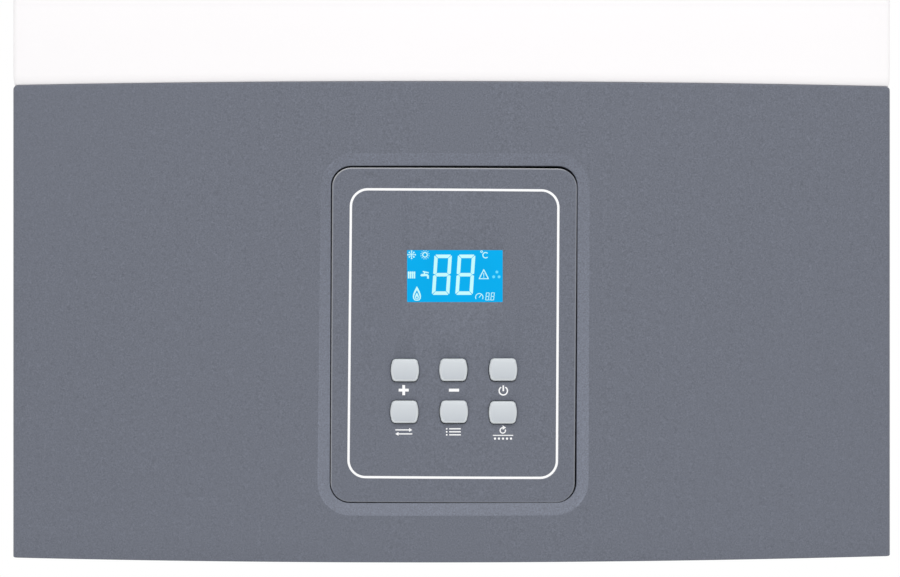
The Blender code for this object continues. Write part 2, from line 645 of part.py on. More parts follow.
# ---------------------------------------------------------------- fan
def scroll(offset, outlet_top):
    """Fan scroll in the x-z plane: a spiral that ends in a straight duct going up."""
    pts = []
    for k in range(19):
        a = 90 + 270.0 * k / 18          # from the top, round the left and bottom, to the right
        r = 44.0 + 24.0 * k / 18 + offset
        pts.append((FAN_X + r * math.cos(math.radians(a)), FAN_Z + r * math.sin(math.radians(a))))
    right = FAN_X + 68.0 + offset
    pts += [(right, outlet_top), (right - 46.0 - 2 * offset, outlet_top), (right - 46.0 - 2 * offset, FAN_Z + 36)]
    return pts


FAN_Y0, FAN_Y1 = -175.5, -123.8
volute = prism([scroll(0.0, 689.0)], FAN_Y0, FAN_Y1, "Y")
volute = cut(volute, prism([scroll(-1.5, 700.0)], FAN_Y0 + 1.5, FAN_Y1 - 1.5, "Y"))
volute = cut(volute, cylinder((FAN_X, FAN_Y1 - 5, FAN_Z), (FAN_X, FAN_Y1 + 5, FAN_Z), 27.0, 24),
             cylinder((FAN_X, FAN_Y0 - 5, FAN_Z), (FAN_X, FAN_Y0 + 5, FAN_Z), 9.0, 24))
place(volute, "fan_housing", ALUZINC)

wheel = cylinder((FAN_X, -170, FAN_Z), (FAN_X, -168.2, FAN_Z), 37.0, 24)
ring = prism([circle(FAN_X, FAN_Z, 38.0, 24), circle(FAN_X, FAN_Z, 30.0, 24)], -132, -130.4, "Y")
wheel = union(wheel, cylinder((FAN_X, -198, FAN_Z), (FAN_X, -150, FAN_Z), 3.0, 12),
              cylinder((FAN_X, -172, FAN_Z), (FAN_X, -155, FAN_Z), 7.5, 12))
N_VANE, LEAN = 12, math.radians(35)
vanes = []
for i in range(N_VANE):
    vane = box((-0.7, -168.8, -3.0), (0.7, -131.2, 3.0))
    # each vane leans about its own middle and is carried round the wheel
    vane.data.transform(Matrix.Translation((FAN_X, 0, FAN_Z)) @ Matrix.Rotation(math.tau * i / N_VANE, 4, "Y")
                        @ Matrix.Translation((0, 0, 33.6)) @ Matrix.Rotation(LEAN, 4, "Y"))
    vanes.append(vane)
wheel = union(wheel, together(vanes), ring)
place(wheel, "fan_impeller", STEEL, "fan_impeller")

motor = cylinder((FAN_X, -222, FAN_Z), (FAN_X, -178, FAN_Z), 29.0, 24)
motor = union(bevel(motor, 3.0, 1), box((FAN_X - 38, -181, FAN_Z - 12), (FAN_X + 38, -178.6, FAN_Z + 12)))
motor = cut(motor, cylinder((FAN_X, -202, FAN_Z), (FAN_X, -170, FAN_Z), 3.8, 12))
place(motor, "fan_motor", CAST)

# ---------------------------------------------------------------- flue connection on the top
spigot = lathe([(30, 728), (30, 693.5), (37, 693.5), (37, 691), (28.5, 691), (28.5, 728)],
               (FLUE_X, FLUE_Y, 0), "Z", 24, True)
place(spigot, "exhaust_spigot", ALUZINC)
collar = lathe([(52.0, 731), (52.0, 706), (55, 704), (70, 704), (70, 700.4), (50.0, 700.4), (50.0, 731)],
               (FLUE_X, FLUE_Y, 0), "Z", 32, True)
place(collar, "flue_collar", CAST)

switch = bevel(cylinder((112, -226, 636), (112, -200, 636), 33.0, 24), 2.5, 1)
switch = union(switch, cylinder((104, -208, 598), (104, -208, 610), 2.6, 8),
               cylinder((120, -208, 598), (120, -208, 610), 2.6, 8),
               box((108, -200.5, 650), (116, -190, 697)))
place(switch, "air_pressure_switch", COMPOSITE)
hose = tube([(104, -208, 597.6), (104, -208, 587), (97, -206, 581), (84, -200, 584), (70, -186, 598),
             (60, -168, 622), (52, -155, 652), (40, -150, 667), (30, -150, 668), (23.4, -150, 668)], 3.2, 14)
place(hose, "pressure_tube", RUBBER)

# ---------------------------------------------------------------- expansion vessel and its hose
# It is a hollow pressing; its filling-valve hole is at the back.
vessel = lathe([(0, -41), (128, -41), (158, -6), (163, -4), (163, 4), (158, 6), (128, 41), (6, 41),
                (6, 39.5), (127, 39.5), (156, 5), (156, -5), (127, -39.5), (0, -39.5)], (0, -59, 470), "Y", 28)
vessel = union(vessel, cylinder((0, -59, 304), (0, -59, 311.5), 8.0, 12))
place(vessel, "expansion_vessel", VESSEL)
hose = tube([(0, -59, 303.6), (0, -59, 285), (16, -56, 264), (70, -50, 244), (118, -50, 214),
             (136, -56, 165), (138, -62, 134), (138, -78, 122), (138, -95.6, 122)], 5.0, 16)
place(hose, "expansion_hose", RUBBER)

# ---------------------------------------------------------------- pump and return group
PY0, PY1 = -150.0, -96.0
pump = cylinder((PUMP_X, PY0, PUMP_Z), (PUMP_X, PY1, PUMP_Z), 45.0, 28)
pump = union(pump, box((56, -142, 28), (116, -99, 109)),
             cylinder((PUMP_X, PIPE_Y, 46), (PUMP_X, PIPE_Y, 64), 14.0, 16),
             cylinder((PUMP_X, PIPE_Y, 136), (PUMP_X, PIPE_Y, 156), 12.0, 16))
pump = cut(pump, cylinder((PUMP_X, PY0 - 10, PUMP_Z), (PUMP_X, PY1 - 4.0, PUMP_Z), 40.0, 28))
place(pump, "pump_housing", BRASS)
pmotor = bevel(cylinder((PUMP_X, -206, PUMP_Z), (PUMP_X, -156, PUMP_Z), 41.0, 24), 4.0, 1)
pmotor = union(pmotor, cylinder((PUMP_X, -157, PUMP_Z), (PUMP_X, -150.4, PUMP_Z), 45.0, 28),
               bevel(box((PUMP_X - 24, -212, PUMP_Z + 26), (PUMP_X + 24, -172, PUMP_Z + 58)), 3.0, 1))
pmotor = cut(pmotor, cylinder((PUMP_X, -186, PUMP_Z), (PUMP_X, -140, PUMP_Z), 5.0, 12))
place(pmotor, "pump_motor", CAST)
rotor = cylinder((PUMP_X, -183, PUMP_Z), (PUMP_X, -116, PUMP_Z), 4.2, 12)
rotor = union(rotor, cylinder((PUMP_X, -140, PUMP_Z), (PUMP_X, -137.5, PUMP_Z), 33.0, 24),
              cylinder((PUMP_X, -138, PUMP_Z), (PUMP_X, -116, PUMP_Z), 10.0, 16))
for i in range(6):
    vane = box((-1.2, -138, 8.0), (1.2, -120, 32.0))
    vane.data.transform(Matrix.Translation((PUMP_X, 0, PUMP_Z)) @ Matrix.Rotation(math.tau * (i + 0.13) / 6, 4, "Y"))
    rotor = union(rotor, vane)
place(rotor, "pump_impeller", COMPOSITE, "pump_impeller")

vent = lathe([(0, 74), (6, 74), (6, 62), (16, 58), (16, 12), (10, 9), (10, 0), (0, 0)],
             (75, -120, 109.4), "Z", 18)
place(vent, "air_vent", BRASS)

# safety valve and its knob, pointing forward under the pump
sv = lathe([(0, 0), (9, 0), (9, -6), (11, -8), (11, -24), (8, -24), (8, -27), (0, -27)],
           (SAFETY[0], -142.4, SAFETY[1]), "Y", 18)
sv = union(sv, cylinder((SAFETY[0], -158, SAFETY[1]), (SAFETY[0] - 20, -158, SAFETY[1]), 6.0, 12))
place(sv, "safety_valve", BRASS)


def knob(r, h, lobes, depth, at, axis, lo):
    """A fluted hand knob: a lobed outline made h thick."""
    n = lobes * 4
    pts = [(at[0] + (r - depth * (0.5 - 0.5 * math.cos(lobes * math.tau * i / n))) * math.cos(math.tau * i / n),
            at[1] + (r - depth * (0.5 - 0.5 * math.cos(lobes * math.tau * i / n))) * math.sin(math.tau * i / n))
           for i in range(n)]
    return bevel(prism([pts], lo, lo + h, axis), 1.2, 1, 60.0)


kn = knob(14.0, 17.0, 8, 2.0, SAFETY, "Y", -187.0)
place(kn, "safety_valve_knob", RED, "safety_valve_knob")
kn = union(knob(12.5, 18.0, 6, 2.6, FILL, "Z", -15.0), cylinder((FILL[0], FILL[1], 1), (FILL[0], FILL[1], 27.4), 4.0, 12))
place(kn, "filling_tap_knob", NAVY, "filling_tap_knob")

# ---------------------------------------------------------------- diverter valve, plate heat exchanger
dv = cylinder((-140, PIPE_Y, 46), (-140, PIPE_Y, 196), 13.0, 20)
dv = union(dv, cylinder((-140, PIPE_Y, 70), (-140, PIPE_Y, 178), 21.0, 24),
           box((-140, -140, 62), (-58, -99, 112)),
           cylinder((-75, PIPE_Y, 46), (-75, PIPE_Y, 70), 11.0, 18),
           cylinder((-140, PIPE_Y, 147), (-140, -149.6, 147), 12.0, 18))
place(dv, "diverter_valve", BRASS)
dm = bevel(box((-166, -196, 124), (-114, -150.0, 170)), 4.0, 1)
place(dm, "diverter_motor", BLACK)

plates = []
for i in range(12):
    y = -88 + i * 2.6
    plates += [(y, 68), (y + 1.4, 68), (y + 1.4, 70), (y + 2.6, 70)]
outline = [(y, z) for y, z in plates] + [(y, 216 - z) for y, z in plates[::-1]]
phe = prism([outline], -96, 96, "X")
place(phe, "plate_heat_exchanger", STEEL)

# ---------------------------------------------------------------- gas valve
gv = bevel(box((-38, -192, 96), (48, -104, 148)), 4.0, 1)
gv = union(gv, cylinder((30, -165, 140), (30, -165, 186), 11.0, 18),
           cylinder((-16, -150, 140), (-16, -150, 184), 14.0, 20),
           cylinder((-16, -178, 140), (-16, -178, 176), 12.0, 20),
           cylinder((0, PIPE_Y, 86), (0, PIPE_Y, 100), 14.0, 20),
           box((-2, -196.5, 106), (40, -190, 138)))
place(gv, "gas_valve", CAST)

# ---------------------------------------------------------------- pipe connections
def connection(name, x, top, pipe_r, bore_r, thread_r, collar_r, mat):
    """A straight copper pipe brazed into a threaded end, open right through."""
    profile = [(pipe_r, top), (pipe_r, 9.4), (collar_r, 9.4), (collar_r, 3.0), (thread_r, 3.0),
               (thread_r, PIPE_END_Z), (bore_r, PIPE_END_Z), (bore_r, top)]
    place(lathe(profile, (x, PIPE_Y, 0), "Z", 18, True), name, mat)


connection("heating_flow_pipe", PIPE_X["flow"], 45.6, 9.0, 7.6, 13.2, 15.5, COPPER)
connection("hot_water_pipe", PIPE_X["hot"], 45.6, 7.0, 5.7, 10.5, 12.5, COPPER)
connection("gas_pipe", PIPE_X["gas"], 85.6, 9.0, 7.6, 13.2, 15.5, COPPER)
connection("cold_water_pipe", PIPE_X["cold"], 27.6, 7.0, 5.7, 10.5, 12.5, COPPER)
connection("heating_return_pipe", PIPE_X["return"], 45.6, 9.0, 7.6, 13.2, 15.5, COPPER)

strip = [(-202.6, -155), (202.6, -155), (202.6, -85), (-202.6, -85)]
holes = [circle(PIPE_X[k], PIPE_Y, r, 16) for k, r in
         (("flow", 10.0), ("hot", 8.0), ("gas", 10.0), ("cold", 8.0), ("return", 10.0))]
holes += [circle(FILL[0], FILL[1], 5.5, 12), circle(-108, -118, 8.6, 16)]
plate = prism([strip] + holes, 10.0, 11.5)
plate = union(plate, box((-202.6, -155, 10.2), (202.6, -153.8, 24)))
place(plate, "connection_plate", ZINC)

gland = lathe([(7.6, 30), (7.6, 9.6), (11, 9.6), (11, 2), (9, -8), (6.4, -11), (4.2, -11), (4.2, 30)],
              (-108, -118, 0), "Z", 16, True)
place(gland, "cable_gland", BLACK)

# ---------------------------------------------------------------- pipes between pump, heat exchanger and valve
end_x = end + 0.6
pipe = tube([(PUMP_X, PIPE_Y, 156.6), (PUMP_X, PIPE_Y, 176), (150, -124, 205), (166, -134, 240), (168, -138, 300),
             (168, -138, 440), (168, -137, 478), (163, -134, 498), (152, -132, 505), (end_x, -132, 505)], 8.0, 22)
place(pipe, "return_pipe_to_exchanger", COPPER)
pipe = tube([(-140, PIPE_Y, 196.6), (-140, PIPE_Y, 214), (-150, -132, 240), (-164, -165, 268), (-168, -215, 292),
             (-168, -246, 330), (-168, -256, 380), (-168, -260, 450), (-167, -260, 482), (-162, -260, 498),
             (-152, -260, 505), (-end_x, -260, 505)], 8.0, 22)
place(pipe, "flow_pipe_from_exchanger", COPPER)
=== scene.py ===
"""Wall-mounted gas boiler: materials, finer pieces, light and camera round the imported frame.

Lengths in the shape helpers are millimetres, with z measured from the casing's bottom edge.
"""

import json
import math

import bmesh
import bpy
from mathutils import Matrix, Vector
from mathutils.geometry import delaunay_2d_cdt


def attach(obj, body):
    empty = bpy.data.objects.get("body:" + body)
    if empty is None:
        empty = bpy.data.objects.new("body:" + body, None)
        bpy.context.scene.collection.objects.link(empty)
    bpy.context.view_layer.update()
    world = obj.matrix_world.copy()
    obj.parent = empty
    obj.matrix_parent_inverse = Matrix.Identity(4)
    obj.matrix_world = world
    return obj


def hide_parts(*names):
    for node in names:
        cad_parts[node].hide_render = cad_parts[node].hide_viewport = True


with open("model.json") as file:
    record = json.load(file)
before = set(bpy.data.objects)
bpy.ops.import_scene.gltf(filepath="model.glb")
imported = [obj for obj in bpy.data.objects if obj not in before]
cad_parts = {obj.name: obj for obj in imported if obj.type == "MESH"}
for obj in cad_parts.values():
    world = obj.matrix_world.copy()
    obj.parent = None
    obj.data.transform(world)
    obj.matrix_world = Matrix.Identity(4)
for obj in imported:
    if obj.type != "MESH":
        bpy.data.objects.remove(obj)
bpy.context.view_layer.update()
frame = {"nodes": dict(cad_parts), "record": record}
scene = bpy.context.scene
NODES = frame["nodes"]

# ---------------------------------------------------------------- dimensions shared with the CAD (mm)
MM, Z0 = 0.001, 640.0
CASE_W, CASE_H = 410.0, 700.0
FRONT_Y, SIDE_Y, BOW = -320.0, -300.0, 20.0
SPLIT_Y, REAR_SIDE_Y = -234.6, -233.5
FASCIA_H, COVER_LO = 220.0, 220.8
MODULE_X, MODULE_Z, MODULE_W, MODULE_H, MODULE_R = 0.1, 104.15, 112.1, 153.1, 8.8
RECESS_D = 1.6
LCD_X, LCD_Z, LCD_W, LCD_H = 0.65, 130.9, 43.8, 23.8
BTN_W, BTN_H, BULGE = 12.8, 10.3, 0.5
FAN_X, FAN_Z = -45.0, 642.0
PUMP_X, PUMP_Z = 140.0, 100.0
PIPE_Y = -120.0
SAFETY, FILL = (98.0, 42.0), (104.0, -108.0)
R_BOW = ((CASE_W / 2) ** 2 + BOW ** 2) / (2 * BOW)
# the camera: its place, how far it looks to the right, focal length and picture centre in pixels
EYE, YAW, FOCAL, CENTRE_PX, CENTRE_PY = (-12.9, -1243.1, 121.7), math.radians(0.783), 2021.0, 452.9, 296.2


def front(x, inset=0.0):
    r = R_BOW - inset
    return FRONT_Y + R_BOW - math.sqrt(r * r - x * x)


# ================================================================ materials
def srgb(r, g, b):
    return tuple((c / 255 / 12.92) if c <= 10.31 else ((c / 255 + 0.055) / 1.055) ** 2.4 for c in (r, g, b))


class Nodes:
    """A short way of wiring one material."""

    def __init__(self, name, rough=0.5, metallic=0.0, **sockets):
        self.mat = bpy.data.materials.new(name)
        self.mat.use_nodes = True
        self.tree = self.mat.node_tree
        self.bsdf = self.tree.nodes["Principled BSDF"]
        self.bsdf.inputs["Roughness"].default_value = rough
        self.bsdf.inputs["Metallic"].default_value = metallic
        for k, v in sockets.items():
            self.bsdf.inputs[k.replace("_", " ")].default_value = v
        self.coord = self.new("ShaderNodeTexCoord").outputs["Object"]
        self.height = None

    def new(self, kind, **props):
        n = self.tree.nodes.new(kind)
        for k, v in props.items():
            setattr(n, k, v)
        return n

    def link(self, a, b):
        self.tree.links.new(a, b)

    def stretch(self, sx, sy, sz):
        m = self.new("ShaderNodeMapping")
        m.inputs["Scale"].default_value = (sx, sy, sz)
        self.link(self.coord, m.inputs["Vector"])
        return m.outputs["Vector"]

    def noise(self, scale, detail=3.0, rough=0.5, vector=None):
        n = self.new("ShaderNodeTexNoise")
        n.inputs["Scale"].default_value = scale
        n.inputs["Detail"].default_value = detail
        n.inputs["Roughness"].default_value = rough
        self.link(vector or self.coord, n.inputs["Vector"])
        return n.outputs["Fac"]

    def voronoi(self, scale, feature="F1", vector=None, out="Distance"):
        n = self.new("ShaderNodeTexVoronoi", feature=feature)
        n.inputs["Scale"].default_value = scale
        self.link(vector or self.coord, n.inputs["Vector"])
        return n.outputs[out]

    def wave(self, scale, direction="X", distortion=0.0, vector=None):
        n = self.new("ShaderNodeTexWave", bands_direction=direction)
        n.inputs["Scale"].default_value = scale
        n.inputs["Distortion"].default_value = distortion
        self.link(vector or self.coord, n.inputs["Vector"])
        return n.outputs["Fac"]

    def ramp(self, fac, stops):
        n = self.new("ShaderNodeValToRGB")
        e = n.color_ramp.elements
        while len(e) < len(stops):
            e.new(0.5)
        for el, (pos, col) in zip(e, stops):
            el.position = pos
            el.color = (*col, 1.0) if len(col) == 3 else col
        self.link(fac, n.inputs["Fac"])
        return n.outputs["Color"]

    def span(self, fac, lo, hi, a=0.3, b=0.7):
        n = self.new("ShaderNodeMapRange")
        for k, v in zip(("From Min", "From Max", "To Min", "To Max"), (a, b, lo, hi)):
            n.inputs[k].default_value = v
        self.link(fac, n.inputs["Value"])
        return n.outputs["Result"]

    def math(self, op, a, b):
        n = self.new("ShaderNodeMath", operation=op)
        for i, v in enumerate((a, b)):
            if isinstance(v, (int, float)):
                n.inputs[i].default_value = v
            else:
                self.link(v, n.inputs[i])
        return n.outputs[0]

    def mix(self, fac, a, b, blend="MIX"):
        n = self.new("ShaderNodeMix", data_type="RGBA", blend_type=blend)
        for socket, v in ((n.inputs["Factor"], fac), (n.inputs[6], a), (n.inputs[7], b)):
            if isinstance(v, (int, float)):
                socket.default_value = v
            elif isinstance(v, tuple):
                socket.default_value = (*v, 1.0)
            else:
                self.link(v, socket)
        return n.outputs[2]

    def edges(self, lo=0.5, hi=0.62):
        """1 on outward edges, 0 on flat and hollow places."""
        g = self.new("ShaderNodeNewGeometry").outputs["Pointiness"]
        return self.span(g, 0.0, 1.0, lo, hi)

    def colour(self, c):
        self.link(c, self.bsdf.inputs["Base Color"])

    def rough(self, c):
        self.link(c, self.bsdf.inputs["Roughness"])

    def bump(self, height, strength, distance):
        n = self.new("ShaderNodeBump")
        n.inputs["Strength"].default_value = strength
        n.inputs["Distance"].default_value = distance
        self.link(height, n.inputs["Height"])
        if self.height is not None:
            self.link(self.height, n.inputs["Normal"])
        self.height = n.outputs["Normal"]
        self.link(self.height, self.bsdf.inputs["Normal"])


def scaled(c, k):
    return tuple(v * k for v in c)


def enamel(name, base):
    m = Nodes(name, 0.34, Coat_Weight=0.25, Coat_Roughness=0.12)
    big, fine = m.noise(6.0, 2.0), m.noise(420.0, 2.0)
    c = m.mix(m.span(big, 0.0, 1.0), scaled(base, 0.985), base)
    m.colour(m.mix(m.math("MULTIPLY", m.edges(), 0.3), c, scaled(base, 0.97)))
    m.rough(m.span(fine, 0.30, 0.38))
    m.bump(fine, 0.05, 0.0004)
    return m.mat


def grained(name, base, speckle=0.06, rough=(0.52, 0.66), scale=1500.0, bump=0.12, painted_border_light=None, painted_edge_highlight=None):
    """Painted or moulded plastic with a fine grain. The border factors, if given, scale the colour of the border round
    the opening as painted light and shade: at the foot and the head of its upright sides, where it faces up or down,
    and a little by where it faces left or right. The edge highlight, if given, is (x, z, amount): a painted highlight
    on an edge, lighter where it faces that way, and a little all round."""
    m = Nodes(name, 0.6)
    fine, mid, big = m.noise(scale, 2.0, 0.6), m.noise(scale * 0.22, 2.0), m.noise(5.0, 1.0)
    c = m.mix(m.span(fine, 0.0, 1.0, 0.25, 0.75), scaled(base, 1 - speckle), scaled(base, 1 + speckle))
    c = m.mix(m.span(mid, 0.0, 0.5), c, scaled(base, 1 - speckle * 0.06))
    c = m.mix(m.span(big, 0.0, 0.25), c, scaled(base, 1.03))
    # Pointiness lightening. On the border (0.4, x1.5) it is a painted highlight on the opening's rounded inner lip.
    # Elsewhere (0.1, x1.3) it is light edge wear.
    c = m.mix(m.math("MULTIPLY", m.edges(0.52, 0.64), 0.4 if painted_border_light else 0.1), c, scaled(base, 1.5 if painted_border_light else 1.3))
    # Painted light and shade on the border: colour scaled by height on its upright sides and by facing up or down, and
    # lighter where it faces left than where it faces right.
    if painted_border_light:
        place = m.new("ShaderNodeSeparateXYZ")
        m.link(m.coord, place.inputs[0])
        k = m.span(place.outputs["Z"], 0.0, 1.0, (74.0 - Z0) * MM, (172.0 - Z0) * MM)
        slant = m.new("ShaderNodeSeparateXYZ")
        m.link(m.new("ShaderNodeTexCoord").outputs["Normal"], slant.inputs[0])
        flat = m.math("MAXIMUM", m.span(slant.outputs["Z"], 1.0, 0.0, -0.22, -0.03),
                      m.span(slant.outputs["Z"], 0.0, 1.0, 0.03, 0.22))
        c = m.mix(1.0, c, m.mix(flat, m.mix(k, (painted_border_light[0],) * 3, (painted_border_light[1],) * 3), (painted_border_light[2],) * 3), "MULTIPLY")
        c = m.mix(1.0, c, m.span(slant.outputs["X"], 1.025, 0.975, -0.2, 0.2), "MULTIPLY")
    # Painted highlight on the module's rim: lighter where the edge faces up and to the left, and a little where it
    # faces right or down.
    if painted_edge_highlight:
        facing = m.new("ShaderNodeSeparateXYZ")
        m.link(m.new("ShaderNodeTexCoord").outputs["Normal"], facing.inputs[0])
        k = m.math("ADD", m.math("MULTIPLY", facing.outputs["X"], painted_edge_highlight[0]), m.math("MULTIPLY", facing.outputs["Z"], painted_edge_highlight[1]))
        k = m.math("MAXIMUM", k, m.math("MULTIPLY", facing.outputs["X"], 0.5))
        k = m.math("MAXIMUM", k, m.math("MULTIPLY", facing.outputs["Z"], -0.45))
        c = m.mix(m.span(k, 0.0, 1.0, 0.1, 0.8), c, (painted_edge_highlight[2], painted_edge_highlight[2] * 1.01, painted_edge_highlight[2] * 1.04))
    m.colour(c)
    m.rough(m.span(fine, *rough))
    m.bump(fine, bump, 0.0002)
    return m.mat


def moulded(name, base, rough=0.35, speckle=0.03, coat=0.0, foot=None, head=(1.075, 1.07, 1.055)):
    """Smooth moulded plastic. foot and head, if given, scale its colour at the lower and the upper end as painted light
    and shade.
    """
    m = Nodes(name, rough, Coat_Weight=coat, Coat_Roughness=0.1)
    fine, big = m.noise(900.0, 3.0), m.noise(22.0, 3.0)
    c = m.mix(m.span(big, 0.0, 1.0), scaled(base, 1 - speckle), scaled(base, 1 + speckle))
    # Painted light and shade: colour scaled from the foot factor at the bottom to the head factor at the top.
    if foot:
        place = m.new("ShaderNodeSeparateXYZ")
        m.link(m.new("ShaderNodeTexCoord").outputs["Generated"], place.inputs[0])
        c = m.mix(1.0, c, m.mix(m.span(place.outputs["Z"], 0.0, 1.0, 0.1, 0.9), foot, head), "MULTIPLY")
    m.colour(m.mix(m.math("MULTIPLY", m.edges(0.53, 0.65), 0.25), c, tuple(min(1.0, v * 1.25 + 0.02) for v in base)))
    m.rough(m.span(big, rough - 0.05, rough + 0.06))
    m.bump(fine, 0.05, 0.0002)
    return m.mat


def sheet_metal(name, base, along=(1.0, 1.0, 40.0), rough=(0.28, 0.42), tint=(1.0, 1.0, 1.0)):
    """Rolled sheet: fine lines along the rolling direction, faint cloudy patches, brighter edges."""
    m = Nodes(name, 0.35, 1.0)
    lines = m.noise(60.0, 4.0, 0.6, m.stretch(*along))
    cloud = m.noise(14.0, 4.0)
    c = m.mix(m.span(cloud, 0.0, 1.0), scaled(base, 0.86), tuple(a * b for a, b in zip(base, tint)))
    c = m.mix(m.span(lines, 0.0, 0.35), c, scaled(base, 0.8))
    m.colour(m.mix(m.math("MULTIPLY", m.edges(), 0.5), c, tuple(min(1.0, v * 1.2) for v in base)))
    m.rough(m.math("ADD", m.span(cloud, *rough), m.math("MULTIPLY", lines, 0.08)))
    m.bump(lines, 0.06, 0.0003)
    return m.mat


def zinc(name, base=(0.60, 0.61, 0.63)):
    """Zinc plating: grey with faint blue and straw patches."""
    m = Nodes(name, 0.35, 1.0)
    cells, cloud = m.voronoi(160.0, out="Color"), m.noise(30.0, 4.0)
    flat = m.new("ShaderNodeSeparateColor")
    m.link(cells, flat.inputs["Color"])
    c = m.mix(m.span(cloud, 0.0, 1.0), tuple(v * k for v, k in zip(base, (0.90, 0.94, 1.06))),
              tuple(v * k for v, k in zip(base, (1.05, 1.02, 0.90))))
    c = m.mix(m.math("MULTIPLY", flat.outputs["Red"], 0.16), c, scaled(base, 0.72))
    m.colour(c)
    m.rough(m.span(flat.outputs["Green"], 0.26, 0.44, 0.0, 1.0))
    m.bump(m.noise(700.0, 2.0), 0.05, 0.0002)
    return m.mat


def cast(name, base=(0.52, 0.53, 0.55)):
    m = Nodes(name, 0.5, 1.0)
    grain, cloud = m.noise(1100.0, 4.0, 0.6), m.noise(40.0, 4.0)
    c = m.mix(m.span(cloud, 0.0, 1.0), scaled(base, 0.82), base)
    m.colour(m.mix(m.math("MULTIPLY", m.edges(), 0.6), c, tuple(min(1.0, v * 1.35) for v in base)))
    m.rough(m.span(grain, 0.40, 0.62))
    m.bump(grain, 0.30, 0.0004)
    return m.mat


def copper(name):
    """Drawn copper with duller, browner patches and a bright rim on edges."""
    m = Nodes(name, 0.28, 1.0)
    cloud, fine = m.noise(35.0, 5.0, 0.6), m.noise(260.0, 4.0)
    c = m.ramp(cloud, [(0.30, (0.33, 0.13, 0.07)), (0.46, (0.66, 0.28, 0.15)), (0.62, (0.86, 0.42, 0.25)),
                       (0.8, (0.92, 0.52, 0.33))])
    m.colour(m.mix(m.math("MULTIPLY", m.edges(), 0.4), c, (0.97, 0.62, 0.42)))
    m.rough(m.math("ADD", m.span(cloud, 0.42, 0.2), m.math("MULTIPLY", fine, 0.08)))
    m.bump(fine, 0.06, 0.0003)
    return m.mat


def brass(name):
    m = Nodes(name, 0.35, 1.0)
    cloud, grain = m.noise(28.0, 4.0), m.noise(800.0, 4.0)
    c = m.ramp(cloud, [(0.3, (0.42, 0.29, 0.11)), (0.55, (0.68, 0.50, 0.22)), (0.75, (0.78, 0.60, 0.30))])
    m.colour(m.mix(m.math("MULTIPLY", m.edges(), 0.5), c, (0.92, 0.76, 0.44)))
    m.rough(m.span(grain, 0.28, 0.5))
    m.bump(grain, 0.16, 0.0003)
    return m.mat


def gloss_paint(name, base):
    m = Nodes(name, 0.3, Coat_Weight=0.6, Coat_Roughness=0.06)
    peel, cloud = m.noise(300.0, 2.0), m.noise(9.0, 3.0)
    c = m.mix(m.span(cloud, 0.0, 1.0), scaled(base, 0.88), scaled(base, 1.06))
    m.colour(m.mix(m.math("MULTIPLY", m.edges(), 0.4), c, scaled(base, 1.5)))
    m.rough(m.span(peel, 0.24, 0.34))
    m.bump(peel, 0.10, 0.0005)
    return m.mat


def rubber(name, base=(0.022, 0.022, 0.024)):
    m = Nodes(name, 0.75)
    dust, fine = m.noise(40.0, 4.0), m.noise(1400.0, 3.0)
    c = m.mix(m.span(dust, 0.0, 0.6), base, scaled(base, 2.4))
    m.colour(m.mix(m.math("MULTIPLY", m.edges(), 0.4), c, scaled(base, 3.0)))
    m.rough(m.span(dust, 0.62, 0.84))
    m.bump(fine, 0.2, 0.0002)
    return m.mat


def fibre(name, base=(0.80, 0.77, 0.70)):
    m = Nodes(name, 0.95)
    n1, n2 = m.noise(240.0, 6.0, 0.7), m.noise(26.0, 4.0)
    c = m.mix(m.span(n2, 0.0, 1.0), scaled(base, 0.84), m.mix(m.span(n1, 0.0, 1.0), scaled(base, 0.92), base))
    m.colour(m.mix(m.math("MULTIPLY", m.edges(), 0.4), c, scaled(base, 1.1)))
    m.rough(m.span(n1, 0.88, 1.0))
    m.bump(n1, 0.6, 0.0008)
    return m.mat


def board(name):
    """Green circuit board: lacquer over tracks."""
    m = Nodes(name, 0.35, Coat_Weight=0.3)
    tracks = m.new("ShaderNodeTexBrick")
    tracks.inputs["Scale"].default_value = 130.0
    tracks.inputs["Mortar Size"].default_value = 0.03
    m.link(m.coord, tracks.inputs["Vector"])
    patch = m.noise(30.0, 3.0)
    c = m.mix(m.math("MULTIPLY", tracks.outputs["Fac"], 0.7),
              m.mix(m.span(patch, 0.0, 1.0), (0.008, 0.09, 0.035), (0.015, 0.14, 0.055)), (0.03, 0.26, 0.11))
    m.colour(m.mix(m.math("MULTIPLY", m.edges(), 0.5), c, (0.22, 0.24, 0.12)))
    m.rough(m.span(patch, 0.3, 0.42))
    m.bump(tracks.outputs["Fac"], 0.1, 0.0001)
    return m.mat


def lit(name, base, strength, rough=0.18, cells=0.0):
    """A lit display colour behind a clear pane, with a faint unevenness of the backlight."""
    m = Nodes(name, rough, Coat_Weight=0.0)
    glow = m.noise(45.0, 2.0)
    c = m.mix(m.span(glow, 0.0, 1.0), scaled(base, 0.97), scaled(base, 1.03))
    m.link(c, m.bsdf.inputs["Emission Color"])
    m.bsdf.inputs["Emission Strength"].default_value = strength
    c = m.mix(m.span(glow, 0.0, 1.0), scaled(base, 0.02), scaled(base, 0.03))
    m.colour(m.mix(m.math("MULTIPLY", m.edges(), 0.3), c, scaled(base, 0.05)))
    m.rough(m.span(glow, rough - 0.03, rough + 0.03))
    m.bsdf.inputs["Specular IOR Level"].default_value = 0.05
    m.bump(m.noise(1800.0, 2.0), 0.02, 0.0001)
    return m.mat


def ink(name, base):
    """Screen-printed white."""
    m = Nodes(name, 0.45)
    fine, cover = m.noise(2600.0, 3.0), m.noise(240.0, 3.0)
    c = m.mix(m.span(cover, 0.0, 1.0), scaled(base, 0.97), base)
    m.colour(m.mix(m.math("MULTIPLY", m.edges(), 0.06), c, scaled(base, 0.9)))
    m.rough(m.span(fine, 0.4, 0.52))
    m.bump(fine, 0.08, 0.0001)
    return m.mat


